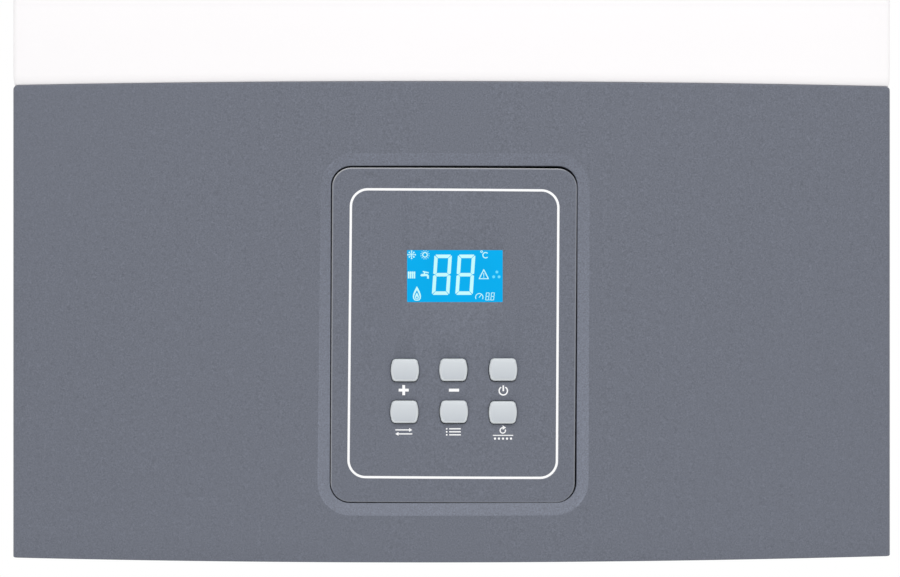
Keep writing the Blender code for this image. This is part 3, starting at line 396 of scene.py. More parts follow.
def glass(name):
    m = Nodes(name, 0.08, Transmission_Weight=0.85, IOR=1.5)
    smear = m.noise(90.0, 4.0)
    c = m.mix(m.span(smear, 0.0, 1.0), (0.72, 0.80, 0.76), (0.80, 0.86, 0.82))
    m.colour(m.mix(m.math("MULTIPLY", m.edges(), 0.4), c, (0.90, 0.93, 0.91)))
    m.rough(m.span(smear, 0.05, 0.16))
    m.bump(m.noise(700.0, 2.0), 0.03, 0.0001)
    return m.mat


GREY = (0.1268, 0.1388, 0.1748)
MAT = {
    "white": enamel("white_enamel_skin", (0.900, 0.881, 0.892)),
    "grey": grained("fascia_grey_skin", scaled(GREY, 0.985), 0.38, scale=1500.0),
    # The border round the module's opening carries painted light and shade in its colour, and a painted highlight on
    # its inner lip.
    "border": grained("border_grey_painted_light", scaled(GREY, 0.985), 0.38, scale=1500.0, painted_border_light=(1.32, 1.14, 1.235)),
    # The module's rounded rim: its base at 1.12 times the grey and its lighter top-left edge colour are a painted
    # highlight.
    "rim": grained("rim_grey_painted_highlight", scaled(GREY, 1.12), 0.06, (0.3, 0.4), painted_edge_highlight=(-0.7, 0.9, 0.50)),
    "module": grained("module_grey_skin", scaled(GREY, 0.985), 0.38, scale=1500.0),
    # Button faces: painted light, lighter and warmer towards the top, darker and bluer towards the foot.
    "silver": moulded("button_silver_painted_light", (0.558, 0.591, 0.628), 0.38, 0.02, 0.0, (0.848, 0.858, 0.872), (1.10, 1.095, 1.08)),
    # Button sides: a lighter base than the faces as a painted highlight on the rim, darkened towards the top as painted
    # shade.
    "silver_rim_painted_light": moulded("button_rim_painted_highlight", (0.64, 0.675, 0.70), 0.3, 0.02, 0.0, (1.0, 1.0, 1.0), (0.86, 0.865, 0.87)),
    "black": grained("black_plastic_skin", (0.030, 0.030, 0.034), 0.12, (0.42, 0.6), 900.0, 0.2),
    "composite": grained("composite_skin", (0.050, 0.055, 0.062), 0.15, (0.4, 0.58), 700.0, 0.25),
    "ink": ink("print_white", (0.93, 0.93, 0.94)),
    "lcd": lit("display_blue_lit", (0.0004, 0.413, 0.84), 1.0),
    "lcd_on": lit("display_segment_lit", srgb(201, 253, 255), 0.97),
    "lcd_dim": lit("display_mark_dim", srgb(110, 221, 255), 0.97),
    "board": board("circuit_board"),
    "zinc": zinc("zinc_plated_skin"),
    "zinc_dull": zinc("zinc_dull_skin", (0.42, 0.43, 0.44)),
    "aluzinc": sheet_metal("aluminised_sheet", (0.60, 0.60, 0.59), (1.0, 1.0, 30.0), (0.30, 0.44), (1.0, 1.0, 0.97)),
    "steel": sheet_metal("stainless_sheet", (0.62, 0.61, 0.60), (1.0, 30.0, 1.0), (0.2, 0.34), (1.02, 1.0, 0.96)),
    "copper": copper("copper_skin"),
    "brass": brass("brass_skin"),
    "cast": cast("cast_aluminium_skin"),
    "red_paint": gloss_paint("vessel_red_skin", (0.40, 0.022, 0.016)),
    "fibre": fibre("ceramic_fibre_skin"),
    "knob_red": moulded("knob_red_skin", (0.60, 0.02, 0.018), 0.35, 0.08),
    "knob_blue": moulded("knob_blue_skin", (0.02, 0.08, 0.42), 0.35, 0.08),
    "rubber": rubber("rubber_skin"),
    "glass": glass("sight_glass_skin"),
    "ceramic": moulded("ceramic_white_skin", (0.83, 0.81, 0.76), 0.2, 0.03, 0.4),
    "cream": moulded("cream_plastic_skin", (0.78, 0.76, 0.68), 0.4, 0.04),
    # Near-black: painted shade for screw recesses and slots, and the real black of chips and small parts.
    "dark": rubber("painted_recess_shade_and_black_parts", (0.012, 0.012, 0.013)),
}


# ================================================================ shape helpers (mm)
def arc(cx, cy, r, a0, a1, n):
    return [(cx + r * math.cos(math.radians(a0 + (a1 - a0) * i / n)),
             cy + r * math.sin(math.radians(a0 + (a1 - a0) * i / n))) for i in range(n + 1)]


def circle(cx, cy, r, n=32):
    return arc(cx, cy, r, 0, 360, n)[:-1]


def rounded(cx, cy, w, h, r, n=8):
    x, y = w / 2 - r, h / 2 - r
    pts = []
    for sx, sy, a in ((1, 1, 0), (-1, 1, 90), (-1, -1, 180), (1, -1, 270)):
        pts += arc(cx + sx * x, cy + sy * y, r, a, a + 90, n)
    return pts


def barrel(cx, cy, w, h, r, bulge, n=7):
    """Flat top and bottom, sides that swell outwards, rounded corners. Anticlockwise from the right."""
    hx, hy = w / 2 - bulge, h / 2
    pts = []
    steps = 8
    for sx, sy, a in ((1, 1, 0), (-1, 1, 90), (-1, -1, 180), (1, -1, 270)):
        pts += arc(cx + sx * (hx - r), cy + sy * (hy - r), r, a, a + 90, n)
        if a == 90:
            pts += [(cx - hx - bulge * (1 - t * t), cy + (hy - r) * t) for t in
                    [1 - 2 * k / steps for k in range(1, steps)]]
        if a == 270:
            pts += [(cx + hx + bulge * (1 - t * t), cy + (hy - r) * t) for t in
                    [-1 + 2 * k / steps for k in range(1, steps)]]
    return pts


def inside(p, poly):
    x, y = p
    hit = False
    for (x0, y0), (x1, y1) in zip(poly, poly[1:] + poly[:1]):
        if (y0 > y) != (y1 > y) and x < (x1 - x0) * (y - y0) / (y1 - y0) + x0:
            hit = not hit
    return hit


def region(bm, outer, holes, lift, extra=()):
    """Fills a flat region with holes by triangles. lift(u, v) gives each corner's place."""
    pts, edges, faces = [], [], []
    for loop in [outer] + list(holes):
        k = len(pts)
        pts += [Vector(p) for p in loop]
        idx = list(range(k, k + len(loop)))
        edges += list(zip(idx, idx[1:] + idx[:1]))
    pts += [Vector(p) for p in extra]
    out = delaunay_2d_cdt(pts, edges, faces, 1, 1e-5)
    verts = [bm.verts.new(lift(v.x, v.y)) for v in out[0]]
    for f in out[2]:
        c = sum((out[0][i] for i in f), Vector((0, 0))) / len(f)
        if inside((c.x, c.y), outer) and not any(inside((c.x, c.y), h) for h in holes):
            bm.faces.new([verts[i] for i in f])


def loops(bm, rows, closed=True):
    """Quads between neighbouring rows of points."""
    grid = [[bm.verts.new(p) for p in row] for row in rows]
    for a, b in zip(grid, grid[1:]):
        n = len(a)
        for i in range(n if closed else n - 1):
            j = (i + 1) % n
            bm.faces.new((a[i], a[j], b[j], b[i]))
    return grid


def weld(bm, dist=1e-3):
    bmesh.ops.remove_doubles(bm, verts=bm.verts, dist=dist)
    bmesh.ops.recalc_face_normals(bm, faces=bm.faces)
    return bm


def columns(bm, xs):
    """Splits the faces at each x, so that a bend along x is smooth."""
    for x in xs:
        bmesh.ops.bisect_plane(bm, geom=bm.verts[:] + bm.edges[:] + bm.faces[:], dist=1e-4,
                               plane_co=(x, 0, 0), plane_no=(1, 0, 0))


def bend(bm, base=0.0):
    """Takes y as depth behind the bowed face and puts it there."""
    for v in bm.verts:
        v.co.y += front(v.co.x) + base
    return bm


def box(lo, hi):
    bm = bmesh.new()
    bmesh.ops.create_cube(bm, size=1.0)
    bmesh.ops.scale(bm, vec=[h - l for l, h in zip(lo, hi)], verts=bm.verts)
    bmesh.ops.translate(bm, vec=[(h + l) / 2 for l, h in zip(lo, hi)], verts=bm.verts)
    return bm


def prism(outline, lo, hi, axis="Z", holes=()):
    """A flat outline with holes, made solid between lo and hi along the axis."""
    put = {"Z": lambda u, v, t: (u, v, t), "Y": lambda u, v, t: (u, t, v), "X": lambda u, v, t: (t, u, v)}[axis]
    bm = bmesh.new()
    for t in (lo, hi):
        region(bm, outline, holes, lambda u, v, t=t: put(u, v, t))
    for loop in [outline] + list(holes):
        loops(bm, [[put(u, v, lo) for u, v in loop], [put(u, v, hi) for u, v in loop]])
    return weld(bm)


AXES = {"Z": Matrix.Identity(3), "Y": Matrix.Rotation(-math.pi / 2, 3, "X"), "X": Matrix.Rotation(math.pi / 2, 3, "Y")}


def lathe(profile, at, axis="Z", steps=48, closed=False):
    """A turned shape: (radius, height) points, heights along the axis from `at`."""
    bm = bmesh.new()
    rows = []
    for k in range(steps):
        a = math.tau * k / steps
        rows.append([Vector((r * math.cos(a), r * math.sin(a), h)) for r, h in profile])
    grid = [[bm.verts.new(AXES[axis] @ p + Vector(at)) for p in row] for row in rows]
    n = len(profile)
    for a, b in zip(grid, grid[1:] + grid[:1]):
        for i in range(n if closed else n - 1):
            j = (i + 1) % n
            quad = (a[i], b[i], b[j], a[j])
            bm.faces.new(quad)
    bmesh.ops.remove_doubles(bm, verts=bm.verts, dist=1e-4)
    bmesh.ops.dissolve_degenerate(bm, edges=bm.edges, dist=1e-5)
    bmesh.ops.recalc_face_normals(bm, faces=bm.faces)
    return bm


def rod(a, b, r, sides=32, r_end=None):
    a, b = Vector(a), Vector(b)
    bm = bmesh.new()
    bmesh.ops.create_cone(bm, cap_ends=True, segments=sides, radius1=r, radius2=r if r_end is None else r_end,
                          depth=(b - a).length)
    turn = Vector((0, 0, 1)).rotation_difference(b - a).to_matrix()
    bmesh.ops.rotate(bm, verts=bm.verts, matrix=turn)
    bmesh.ops.translate(bm, vec=(a + b) / 2, verts=bm.verts)
    return bm


def smooth_path(points, spacing):
    p = [Vector(q) for q in points]
    p = [2 * p[0] - p[1]] + p + [2 * p[-1] - p[-2]]
    out = []
    for i in range(1, len(p) - 2):
        a, b, c, d = p[i - 1:i + 3]
        n = max(1, round((c - b).length / spacing))
        for k in range(n):
            t = k / n
            out.append(0.5 * ((2 * b) + (c - a) * t + (2 * a - 5 * b + 4 * c - d) * t * t
                              + (3 * b - a - 3 * c + d) * t ** 3))
    out.append(p[-2])
    return out


def tube(points, r, spacing=4.0, sides=24, smooth=True, caps=True):
    """A round rod or pipe along a route, with a frame carried along so that it never twists."""
    route = smooth_path(points, spacing) if smooth else [Vector(q) for q in points]
    bm = bmesh.new()
    tangent = (route[1] - route[0]).normalized()
    side = tangent.orthogonal().normalized()
    rings = []
    for i, p in enumerate(route):
        new = (route[min(i + 1, len(route) - 1)] - route[max(i - 1, 0)]).normalized()
        side = tangent.rotation_difference(new).to_matrix() @ side
        side = (side - new * side.dot(new)).normalized()
        tangent = new
        up = tangent.cross(side)
        rings.append([p + r * (math.cos(a) * side + math.sin(a) * up)
                      for a in [math.tau * k / sides for k in range(sides)]])
    grid = loops(bm, rings)
    if caps:
        bm.faces.new(grid[0][::-1])
        bm.faces.new(grid[-1])
    bmesh.ops.recalc_face_normals(bm, faces=bm.faces)
    return bm


def arc_route(points, radius, n=8):
    """Straight runs joined by round elbows of the given radius."""
    p = [Vector(q) for q in points]
    out = [p[0]]
    for a, b, c in zip(p, p[1:], p[2:]):
        u, v = (a - b).normalized(), (c - b).normalized()
        half = math.acos(max(-1.0, min(1.0, u.dot(v)))) / 2
        if half > math.pi / 2 - 0.02:
            out.append(b)
            continue
        rad = min(radius, 0.48 * min((a - b).length, (c - b).length) * math.tan(half))
        cut = rad / math.tan(half)
        centre = b + (u + v).normalized() * (rad / math.sin(half))
        s, e = b + u * cut - centre, b + v * cut - centre
        total = s.angle(e)
        axis = s.cross(e).normalized()
        for k in range(n + 1):
            out.append(centre + Matrix.Rotation(total * k / n, 3, axis) @ s)
    out.append(p[-1])
    return out


def hexagon(at, axis, across, h, bore=0.0):
    """A hexagon nut or bolt head along the axis, from `at`."""
    r = across / math.sqrt(3)
    pts = [(r * math.cos(math.radians(a)), r * math.sin(math.radians(a))) for a in range(0, 360, 60)]
    bm = prism(pts, 0, h, "Z", [circle(0, 0, bore, 24)] if bore else [])
    bm.transform(Matrix.Translation(at) @ AXES[axis].to_4x4())
    return bm


def screw(at, normal, r=3.2, h=1.6):
    """A pan-head screw with a cross recess, seated at `at`."""
    n = Vector(normal).normalized()
    prof = [(0, h), (r * 0.5, h * 0.97), (r * 0.8, h * 0.75), (r, h * 0.3), (r, 0), (0, 0)]
    bm = lathe(prof, (0, 0, 0), "Z", 20)
    bm.transform(Matrix.Translation(at) @ Vector((0, 0, 1)).rotation_difference(n).to_matrix().to_4x4())
    return bm


def cross(at, normal, size):
    """The cross in a screw's head: a thin dark plate, painted shade where the cross recess is."""
    n = Vector(normal).normalized()
    bars = merged([box((-size, -size * 0.24, 0), (size, size * 0.24, 0.12)),
                   box((-size * 0.24, -size, 0), (size * 0.24, size, 0.12))])
    bars.transform(Matrix.Translation(at) @ Vector((0, 0, 1)).rotation_difference(n).to_matrix().to_4x4())
    return bars


def merged(bms):
    """Several shapes as one mesh."""
    out = bmesh.new()
    for b in bms:
        tmp = bpy.data.meshes.new("tmp")
        b.to_mesh(tmp)
        b.free()
        out.from_mesh(tmp)
        bpy.data.meshes.remove(tmp)
    return out


def moved(bm, x=0.0, y=0.0, z=0.0):
    bmesh.ops.translate(bm, vec=(x, y, z), verts=bm.verts)
    return bm


TO_ROW = Matrix.Scale(MM, 4) @ Matrix.Translation((0, 0, -Z0))


def piece(name, parts, body, replaces=(), bevel=0.0, segments=3, angle=35.0, smooth=35.0, solid=0.0,
          weighted=False):
    """One visible piece made of (shape, material) pairs, riding on a body."""
    if not isinstance(parts, list):
        parts = [parts]
    mesh = bpy.data.meshes.new(name)
    out = bmesh.new()
    mats = []
    for bm, key in parts:
        if key not in mats:
            mats.append(key)
        k = mats.index(key)
        for f in bm.faces:
            f.material_index = k
            f.smooth = True
        tmp = bpy.data.meshes.new("tmp")
        bm.to_mesh(tmp)
        bm.free()
        out.from_mesh(tmp)
        bpy.data.meshes.remove(tmp)
    out.transform(TO_ROW)
    out.to_mesh(mesh)
    out.free()
    for key in mats:
        mesh.materials.append(MAT[key])
    obj = bpy.data.objects.new(name, mesh)
    scene.collection.objects.link(obj)
    mesh.shade_smooth()
    if solid:
        m = obj.modifiers.new("thickness", "SOLIDIFY")
        m.thickness = solid * MM
        m.offset = -1
        m.use_even_offset = True
    if bevel:
        m = obj.modifiers.new("edges", "BEVEL")
        m.width = bevel * MM
        m.segments = segments
        m.limit_method = "ANGLE"
        m.angle_limit = math.radians(angle)
        m.harden_normals = True
        m.miter_outer = "MITER_ARC"
        m.use_clamp_overlap = True
    else:
        mesh.set_sharp_from_angle(angle=math.radians(smooth))
    if weighted:
        m = obj.modifiers.new("flat_faces", "WEIGHTED_NORMAL")
        m.keep_sharp = True
    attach(obj, body)
    if replaces:
        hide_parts(*replaces)
    return obj


BUTTONS = {"plus": (-22.22, 87.89), "minus": (-0.08, 88.04), "power": (22.76, 88.14),
           "mode": (-22.49, 68.83), "info": (0.2, 68.87), "reset": (22.6, 68.51)}
# how far each button sits off the middle of its hole: the gap is widest on the other side
SEAT = {"plus": (0.04, 0.13), "minus": (-0.10, 0.10), "power": (0.10, 0.20), "mode": (0.0, 0.05), "info": (0.10, 0.19),
        "reset": (0.04, 0.02)}
BTN_R = 1.95
TILT = math.radians(0.32)        # the module sits very slightly askew in its opening


def tilt(pts, a=TILT):
    """Turns places on the module clockwise, as seen from the front, about its centre."""
    c, s = math.cos(a), math.sin(a)
    return [(MODULE_X + (x - MODULE_X) * c + (z - MODULE_Z) * s, MODULE_Z + (z - MODULE_Z) * c - (x - MODULE_X) * s)
            for x, z in pts]


# ================================================================ the bowed white cover and the grey fascia
CORNER = 3.0


def path(ix, iy, back, xs):
    """Plan of the bowed front: side, corner, bow, corner, side. ix and iy pull in the sides and the front."""
    half = CASE_W / 2 - ix
    rc = max(0.6, CORNER - max(ix, iy))
    by = FRONT_Y + R_BOW
    r = R_BOW - iy
    cx = half - rc
    cy = by - math.sqrt((r - rc) ** 2 - cx * cx)
    lean = math.atan2(by - cy, cx)               # from the bow's centre to the corner's
    n = 6
    right = [(cx + rc * math.cos(-t), cy + rc * math.sin(-t)) for t in [lean * k / n for k in range(n, -1, -1)]]
    end = right[0][0]                            # where the bow meets the corner
    mid = [(x, by - math.sqrt(r * r - x * x)) for x in (max(-end, min(end, x)) for x in xs)]
    side = [back + (cy - back) * k / 4 for k in range(4)]
    right += [(half, y) for y in side[::-1]]
    left = [(-x, y) for x, y in right[::-1]]
    return left + mid + right


XS = [i * 5.0 for i in range(-39, 40)]


def shell(levels, back):
    """levels are (z, ix, iy, back inset)."""
    return [[(x, y, z) for x, y in path(ix, iy, back, XS)] for z, ix, iy in levels]


def quarter(r, n, z_edge, up, rx=None):
    """Levels that round an edge of radius r off towards z_edge."""
    rx = r if rx is None else rx
    out = []
    for k in range(n + 1):
        t = math.radians(90 * k / n)
        out.append((z_edge - up * r * (1 - math.sin(t)), rx * (1 - math.cos(t)), r * (1 - math.cos(t))))
    return out


def flange(z, ix, iy, width, back):
    """A ring of the section at this height, running inwards by width."""
    return [(x, y, z) for x, y in path(ix + width, iy + width, back, XS)]


# white cover
lo, hi = COVER_LO - 0.87, CASE_H
# the lower edge turns in softly over 4.5 mm and ends in a sharper lip
lip = [(0.0, 1.0), (0.06, 0.84), (0.2, 0.72), (0.6, 0.60), (1.2, 0.43), (2.0, 0.25), (2.9, 0.11), (3.8, 0.03),
       (4.6, 0.0)]
lv = [(lo + dz, 0.8 * d, d) for dz, d in lip]
lv += [(lo + 4.6 + (hi - 3.0 - lo - 4.6) * k / 12, 0.0, 0.0) for k in range(1, 12)]
lv += quarter(3.0, 5, hi, 1)
rows = shell(lv, SPLIT_Y)
bm = bmesh.new()
under = [[(x, y, lo) for x, y in path(0.8 + w, 1.0 + w, SPLIT_Y, XS)] for w in (12.0, 6.0)]
over = [[(x, y, hi) for x, y in path(3.0 + w, 3.0 + w, SPLIT_Y, XS)] for w in (20.0, 60.0)]
grid = loops(bm, under + rows + over, closed=False)
# the top is closed between the last rows' two sides
last = grid[-1]
n = len(last)
for i in range((n - 1) // 2):
    corners = [last[i], last[i + 1], last[n - 2 - i], last[n - 1 - i]]
    bm.faces.new(list(dict.fromkeys(corners)))
weld(bm)
piece("front_cover_skin", (bm, "white"), "front_cover", ["front_cover"], solid=1.2, smooth=40)

# grey fascia: the shell, with a window in the front for the bordered opening
WIN_X, WIN_Z0, WIN_Z1 = 75.0, 12.0, 200.0
lo, hi = 0.0, FASCIA_H - 0.22
lv = quarter(0.6, 3, lo, -1)[::-1]
lv += [(z, 0.0, 0.0) for z in (WIN_Z0, 60.0, 105.0, 150.0, WIN_Z1)]
# its upper corners are rounded as seen from the front, its front edge is nearly sharp
lv += [(hi - 1.8 * (1 - math.sin(t)), 1.8 * (1 - math.cos(t)), max(0.0, 0.45 - 1.8 * (1 - math.sin(t))) ** 2 * 2)
       for t in [math.radians(15 * k) for k in range(7)]]
rows = shell(lv, SPLIT_Y)
bm = bmesh.new()
under = [[(x, y, lo) for x, y in path(0.6 + w, 0.6 + w, SPLIT_Y, XS)] for w in (60.0, 20.0)]
over = [[(x, y, hi) for x, y in path(1.8 + w, 0.4 + w, SPLIT_Y, XS)] for w in (8.0, 16.0)]
grid = loops(bm, under + rows + over, closed=False)
first = grid[0]
n = len(first)
for i in range((n - 1) // 2):
    corners = [first[n - 1 - i], first[n - 2 - i], first[i + 1], first[i]]
    bm.faces.new(list(dict.fromkeys(corners)))
gone = [f for f in bm.faces if abs(f.calc_center_median().x) < WIN_X and f.calc_center_median().y < -300
        and WIN_Z0 < f.calc_center_median().z < WIN_Z1]
bmesh.ops.delete(bm, geom=gone, context="FACES")

GAP = 0.38
ow, oh, orad = MODULE_W + 2 * GAP, MODULE_H + 2 * GAP, MODULE_R + GAP
RECESS_W = 5.9


def opening(offset, n=10):
    """The opening's outline grown by offset. Its sides lean a little, and the border round it isn't equally wide."""
    k = max(0.0, offset - 0.6) / (RECESS_W - 0.6)
    out = []
    for x, z in rounded(MODULE_X, MODULE_Z + 0.07, ow + 2 * offset, oh + 0.58 + 2 * offset, orad + offset, n):
        lean_in = 0.00175 * (z - 104.0)
        if x < MODULE_X:
            x += lean_in + 0.0024 * (z - 126.0) + k * (1.16 + 0.0066 * (z - 110.0))
        else:
            x += lean_in + 0.23 + 0.002 * (z - 110.0) - k * 0.8
        out.append((x, z + k * (0.62 if z < MODULE_Z else -0.63)))
    return out


patch = bmesh.new()
rect = ([(x, WIN_Z0) for x in XS if abs(x) <= WIN_X] + [(WIN_X, z) for z in (60.0, 105.0, 150.0)]
        + [(x, WIN_Z1) for x in XS[::-1] if abs(x) <= WIN_X] + [(-WIN_X, z) for z in (150.0, 105.0, 60.0)])
# section of the border, from the face in to the opening: (offset, depth)
slope = RECESS_D / RECESS_W
border = [(RECESS_W + 0.35, 0.0), (RECESS_W + 0.1, 0.01), (RECESS_W - 0.1, 0.04), (RECESS_W - 0.35, 0.095)]
border += [(RECESS_W - 0.35 - k * 0.85, 0.095 + k * 0.85 * slope) for k in range(1, 6)]
border += [(0.55, RECESS_D - 0.10), (0.28, RECESS_D - 0.02), (0.10, RECESS_D + 0.10), (0.0, RECESS_D + 0.38)]
border += [(0.0, 4.0), (0.0, 9.0)]
region(patch, rect, [opening(border[0][0])], lambda u, v: (u, 0.0, v))
columns(patch, [x for x in XS if abs(x) < WIN_X])
bend(patch)
ring = bmesh.new()
loops(ring, [[(x, d, z) for x, z in opening(o)] for o, d in border])
columns(ring, XS)
bend(ring)
for f in ring.faces:
    f.material_index = 1
body_bm = merged([bm, patch])
weld(body_bm, 2e-3)
weld(ring)
piece("fascia_skin", [(body_bm, "grey"), (ring, "border")], "control_panel", ["fascia"], smooth=40)

# ================================================================ control module face
MX = [MODULE_X + i * 4.0 for i in range(-15, 16)]
DROP, SHORT = 0.385, -0.15       # the module sits a little low in its opening, and is a little taller


def module_outline(offset, n=10):
    pts = tilt(rounded(MODULE_X, MODULE_Z - DROP, MODULE_W + 2 * offset, MODULE_H - SHORT + 2 * offset,
                       MODULE_R + offset, n))
    return [(x + 0.07 + 0.002 * (z - 110.0), z + 0.17) if x > MODULE_X else (x, z) for x, z in pts]


rim_bm = bmesh.new()
edge = [(0.0, 12.0), (0.0, 6.0), (0.0, 0.75), (-0.05, 0.48), (-0.17, 0.25), (-0.34, 0.10), (-0.55, 0.02), (-0.75, 0.0)]
loops(rim_bm, [[(x, d, z) for x, z in module_outline(o)] for o, d in edge])
columns(rim_bm, MX)
bend(rim_bm, RECESS_D)
bm = bmesh.new()
holes = []
for key in BUTTONS:
    bx, bz = BUTTONS[key][0] - SEAT[key][0], BUTTONS[key][1] - SEAT[key][1]
    rim = [(0.42, 0.0), (0.36, 0.04), (0.30, 0.16), (0.30, 2.4)]
    loops(bm, [[(x, d, z) for x, z in barrel(bx, bz, BTN_W + 2 * o, BTN_H + 2 * o, BTN_R + o, BULGE)] for o, d in rim])
    holes.append(barrel(bx, bz, BTN_W + 0.84, BTN_H + 0.84, BTN_R + 0.42, BULGE))
rim = [(0.12, 0.0), (0.05, 0.03), (0.0, 0.12), (0.0, 1.6)]
loops(bm, [[(x, d, z) for x, z in rounded(LCD_X, LCD_Z, LCD_W + 2 * o, LCD_H + 2 * o, 0.25 + o, 3)] for o, d in rim])
holes.append(rounded(LCD_X, LCD_Z, LCD_W + 0.24, LCD_H + 0.24, 0.37, 3))
region(bm, module_outline(-0.75), holes, lambda u, v: (u, 0.0, v))
weld(bm)
columns(bm, MX)
bend(bm, RECESS_D)
piece("control_module_skin", [(bm, "module"), (rim_bm, "rim")], "control_panel", ["control_module_face"], smooth=40)

# ================================================================ buttons
for key in BUTTONS:
    bx, bz = BUTTONS[key]
    rim = [(0.0, 3.6), (0.0, -0.25), (-0.05, -0.62), (-0.17, -0.92), (-0.38, -1.16), (-0.65, -1.32), (-0.95, -1.40)]
    top = [(-0.95, -1.40), (-1.25, -1.45), (-1.45, -1.465), (-1.55, -1.465)]

    def cap_rows(levels):
        return [[(x, d, z) for x, z in barrel(bx, bz, BTN_W + 0.2 + 2 * o, BTN_H + 2 * o, BTN_R + o, BULGE)]
                for o, d in levels]

    side = bmesh.new()
    grid = loops(side, cap_rows(rim))
    side.faces.new(grid[0][::-1])
    bm = bmesh.new()
    grid = loops(bm, cap_rows(top))
    bm.faces.new(grid[-1])
    for b in (side, bm):
        for v in b.verts:
            v.co.y += front(bx) + RECESS_D
    bmesh.ops.recalc_face_normals(side, faces=side.faces)
    for f in bm.faces:
        f.normal_update()
        if f.normal.y > 0:
            f.normal_flip()
    # the flange and stem behind it, as in the frame
    rest = merged([box((bx - 7.7, -314.9, bz - 6.5), (bx + 7.7, -314.0, bz + 6.5)),
                   rod((bx, -314.4, bz), (bx, -308.7, bz), 1.4, 16)])
    piece("button_" + key + "_cap", [(bm, "silver"), (side, "silver_rim_painted_light"), (rest, "silver")], "button_" + key,
          ["button_" + key],
          smooth=50)

# ================================================================ display
D_LCD = 0.32         # depth of the lit pane below the module's face
bm = prism(rounded(LCD_X, LCD_Z, LCD_W, LCD_H, 0.25, 3), D_LCD, D_LCD + 1.2, "Y")
columns(bm, MX)
bend(bm, RECESS_D)
piece("display_pane", (bm, "lcd"), "control_panel", ["display_window"], smooth=30)

def on_module(px, py):
    """Where a place in the picture, in pixels of the 900 x 577 frame, lies on the module's face (x, z in mm)."""
    c, s = math.cos(YAW), math.sin(YAW)
    across, up = (px - CENTRE_PX) / FOCAL, (CENTRE_PY - py) / FOCAL
    y = FRONT_Y + RECESS_D
    for _ in range(5):
        t = (y - EYE[1]) / (c - across * s)
        x = EYE[0] + t * (across * c + s)
        y = front(x) + RECESS_D
    return x, EYE[2] + t * up


def decal(shapes, d0, d1):
    """Thin flat figures on the module's face. shapes are (outline, holes) in mm."""
    out = []
    for outline, holes in shapes:
        out.append(prism(outline, d0, d1, "Y", holes))
    bm = merged(out)
    columns(bm, MX)
    return bend(bm, RECESS_D)


def px_poly(points):
    return [on_module(x, y) for x, y in points]


def bar(x0, y0, x1, y1, t):
    """A straight stroke of width t between two picture points."""
    dx, dy = x1 - x0, y1 - y0
    n = math.hypot(dx, dy)
    ux, uy = -dy / n * t / 2, dx / n * t / 2
    return (px_poly([(x0 + ux, y0 + uy), (x1 + ux, y1 + uy), (x1 - ux, y1 - uy), (x0 - ux, y0 - uy)]), [])


def disc(cx, cy, r, n=20, hole=0.0):
    holes = [px_poly(circle(cx, cy, hole, n))] if hole else []
    return (px_poly(circle(cx, cy, r, n)), holes)


def ring_arc(cx, cy, r, t, a0, a1, n=20):
    """Part of a ring, angles in degrees clockwise from the right as seen in the picture."""
    pts = arc(cx, cy, r + t / 2, a0, a1, n) + arc(cx, cy, r - t / 2, a1, a0, n)
    return (px_poly(pts), [])


def digit(cx, cy, w, h, t, lean, gap, chamfer):
    """A seven-segment figure with every segment lit. lean shifts the top to the right."""
    x0, x1, y0, y1, ym = cx - w / 2, cx + w / 2, cy - h / 2, cy + h / 2, cy
    c, g, k = chamfer, gap / 2, t / 2

    def sk(x, y):
        return (x + lean * (cy - y) / h, y)
    seg = []
    for sy, y in ((1, y0), (-1, y1)):
        # the bar at this end, then the two uprights that run from it to the middle
        seg.append([(x0 + c, y), (x1 - c, y), (x1 - c / 2 - g, y + sy * (c / 2 - g)), (x1 - t - g, y + sy * t),
                    (x0 + t + g, y + sy * t), (x0 + c / 2 + g, y + sy * (c / 2 - g))])
        for sx, x in ((1, x0), (-1, x1)):
            seg.append([(x, y + sy * c), (x + sx * (c / 2 - g), y + sy * (c / 2 + g)), (x + sx * t, y + sy * (t + g)),
                        (x + sx * t, ym - sy * (k + g)), (x + sx * k, ym - sy * g), (x, ym - sy * (g + k * 0.5))])
    seg.append([(x0 + k + g, ym), (x0 + t + g, ym - k), (x1 - t - g, ym - k), (x1 - k - g, ym), (x1 - t - g, ym + k),
                (x0 + t + g, ym + k)])
    return [(px_poly([sk(*p) for p in q]), []) for q in seg]


shapes = []
shapes += digit(441.9, 274.7, 17.5, 40.3, 3.5, 2.7, 0.5, 1.5)
shapes += digit(465.35, 274.7, 17.5, 40.3, 3.5, 2.7, 0.5, 1.5)
# snowflake
for k in range(4):
    a = math.radians(45 * k)
    c, s, r = math.cos(a), math.sin(a), 4.4 if k % 2 == 0 else 4.0
    for e in (-1, 1):
        q = 0.0 if k % 2 == 0 else 1.5
        shapes.append(bar(411.6 + e * q * c, 254.7 + e * q * s, 411.6 + e * r * c, 254.7 + e * r * s, 0.75))
        shapes.append(bar(411.6 + e * (r - 0.7) * c - 0.85 * s, 254.7 + e * (r - 0.7) * s + 0.85 * c,
                          411.6 + e * (r - 0.7) * c + 0.85 * s, 254.7 + e * (r - 0.7) * s - 0.85 * c, 0.6))
# sun
shapes.append(disc(425.0, 254.8, 2.8, 24, 1.75))
for k in range(12):
    a = math.radians(15 + 30 * k)
    shapes.append(bar(425 + 3.5 * math.cos(a), 254.8 + 3.5 * math.sin(a), 425 + 4.6 * math.cos(a),
                      254.8 + 4.6 * math.sin(a), 0.55))
# degrees C
shapes.append(disc(481.6, 251.6, 1.25, 16, 0.6))
shapes.append(ring_arc(485.6, 255.2, 2.7, 1.0, 42, 318, 20))
# radiator
for k in range(4):
    shapes.append((px_poly([(407.85 + 1.95 * k, 271.5), (409.35 + 1.95 * k, 271.5), (409.35 + 1.95 * k, 278.4),
                            (407.85 + 1.95 * k, 278.4)]), []))
shapes.append((px_poly([(407.7, 272.5), (415.3, 272.5), (415.3, 273.4), (407.7, 273.4)]), []))
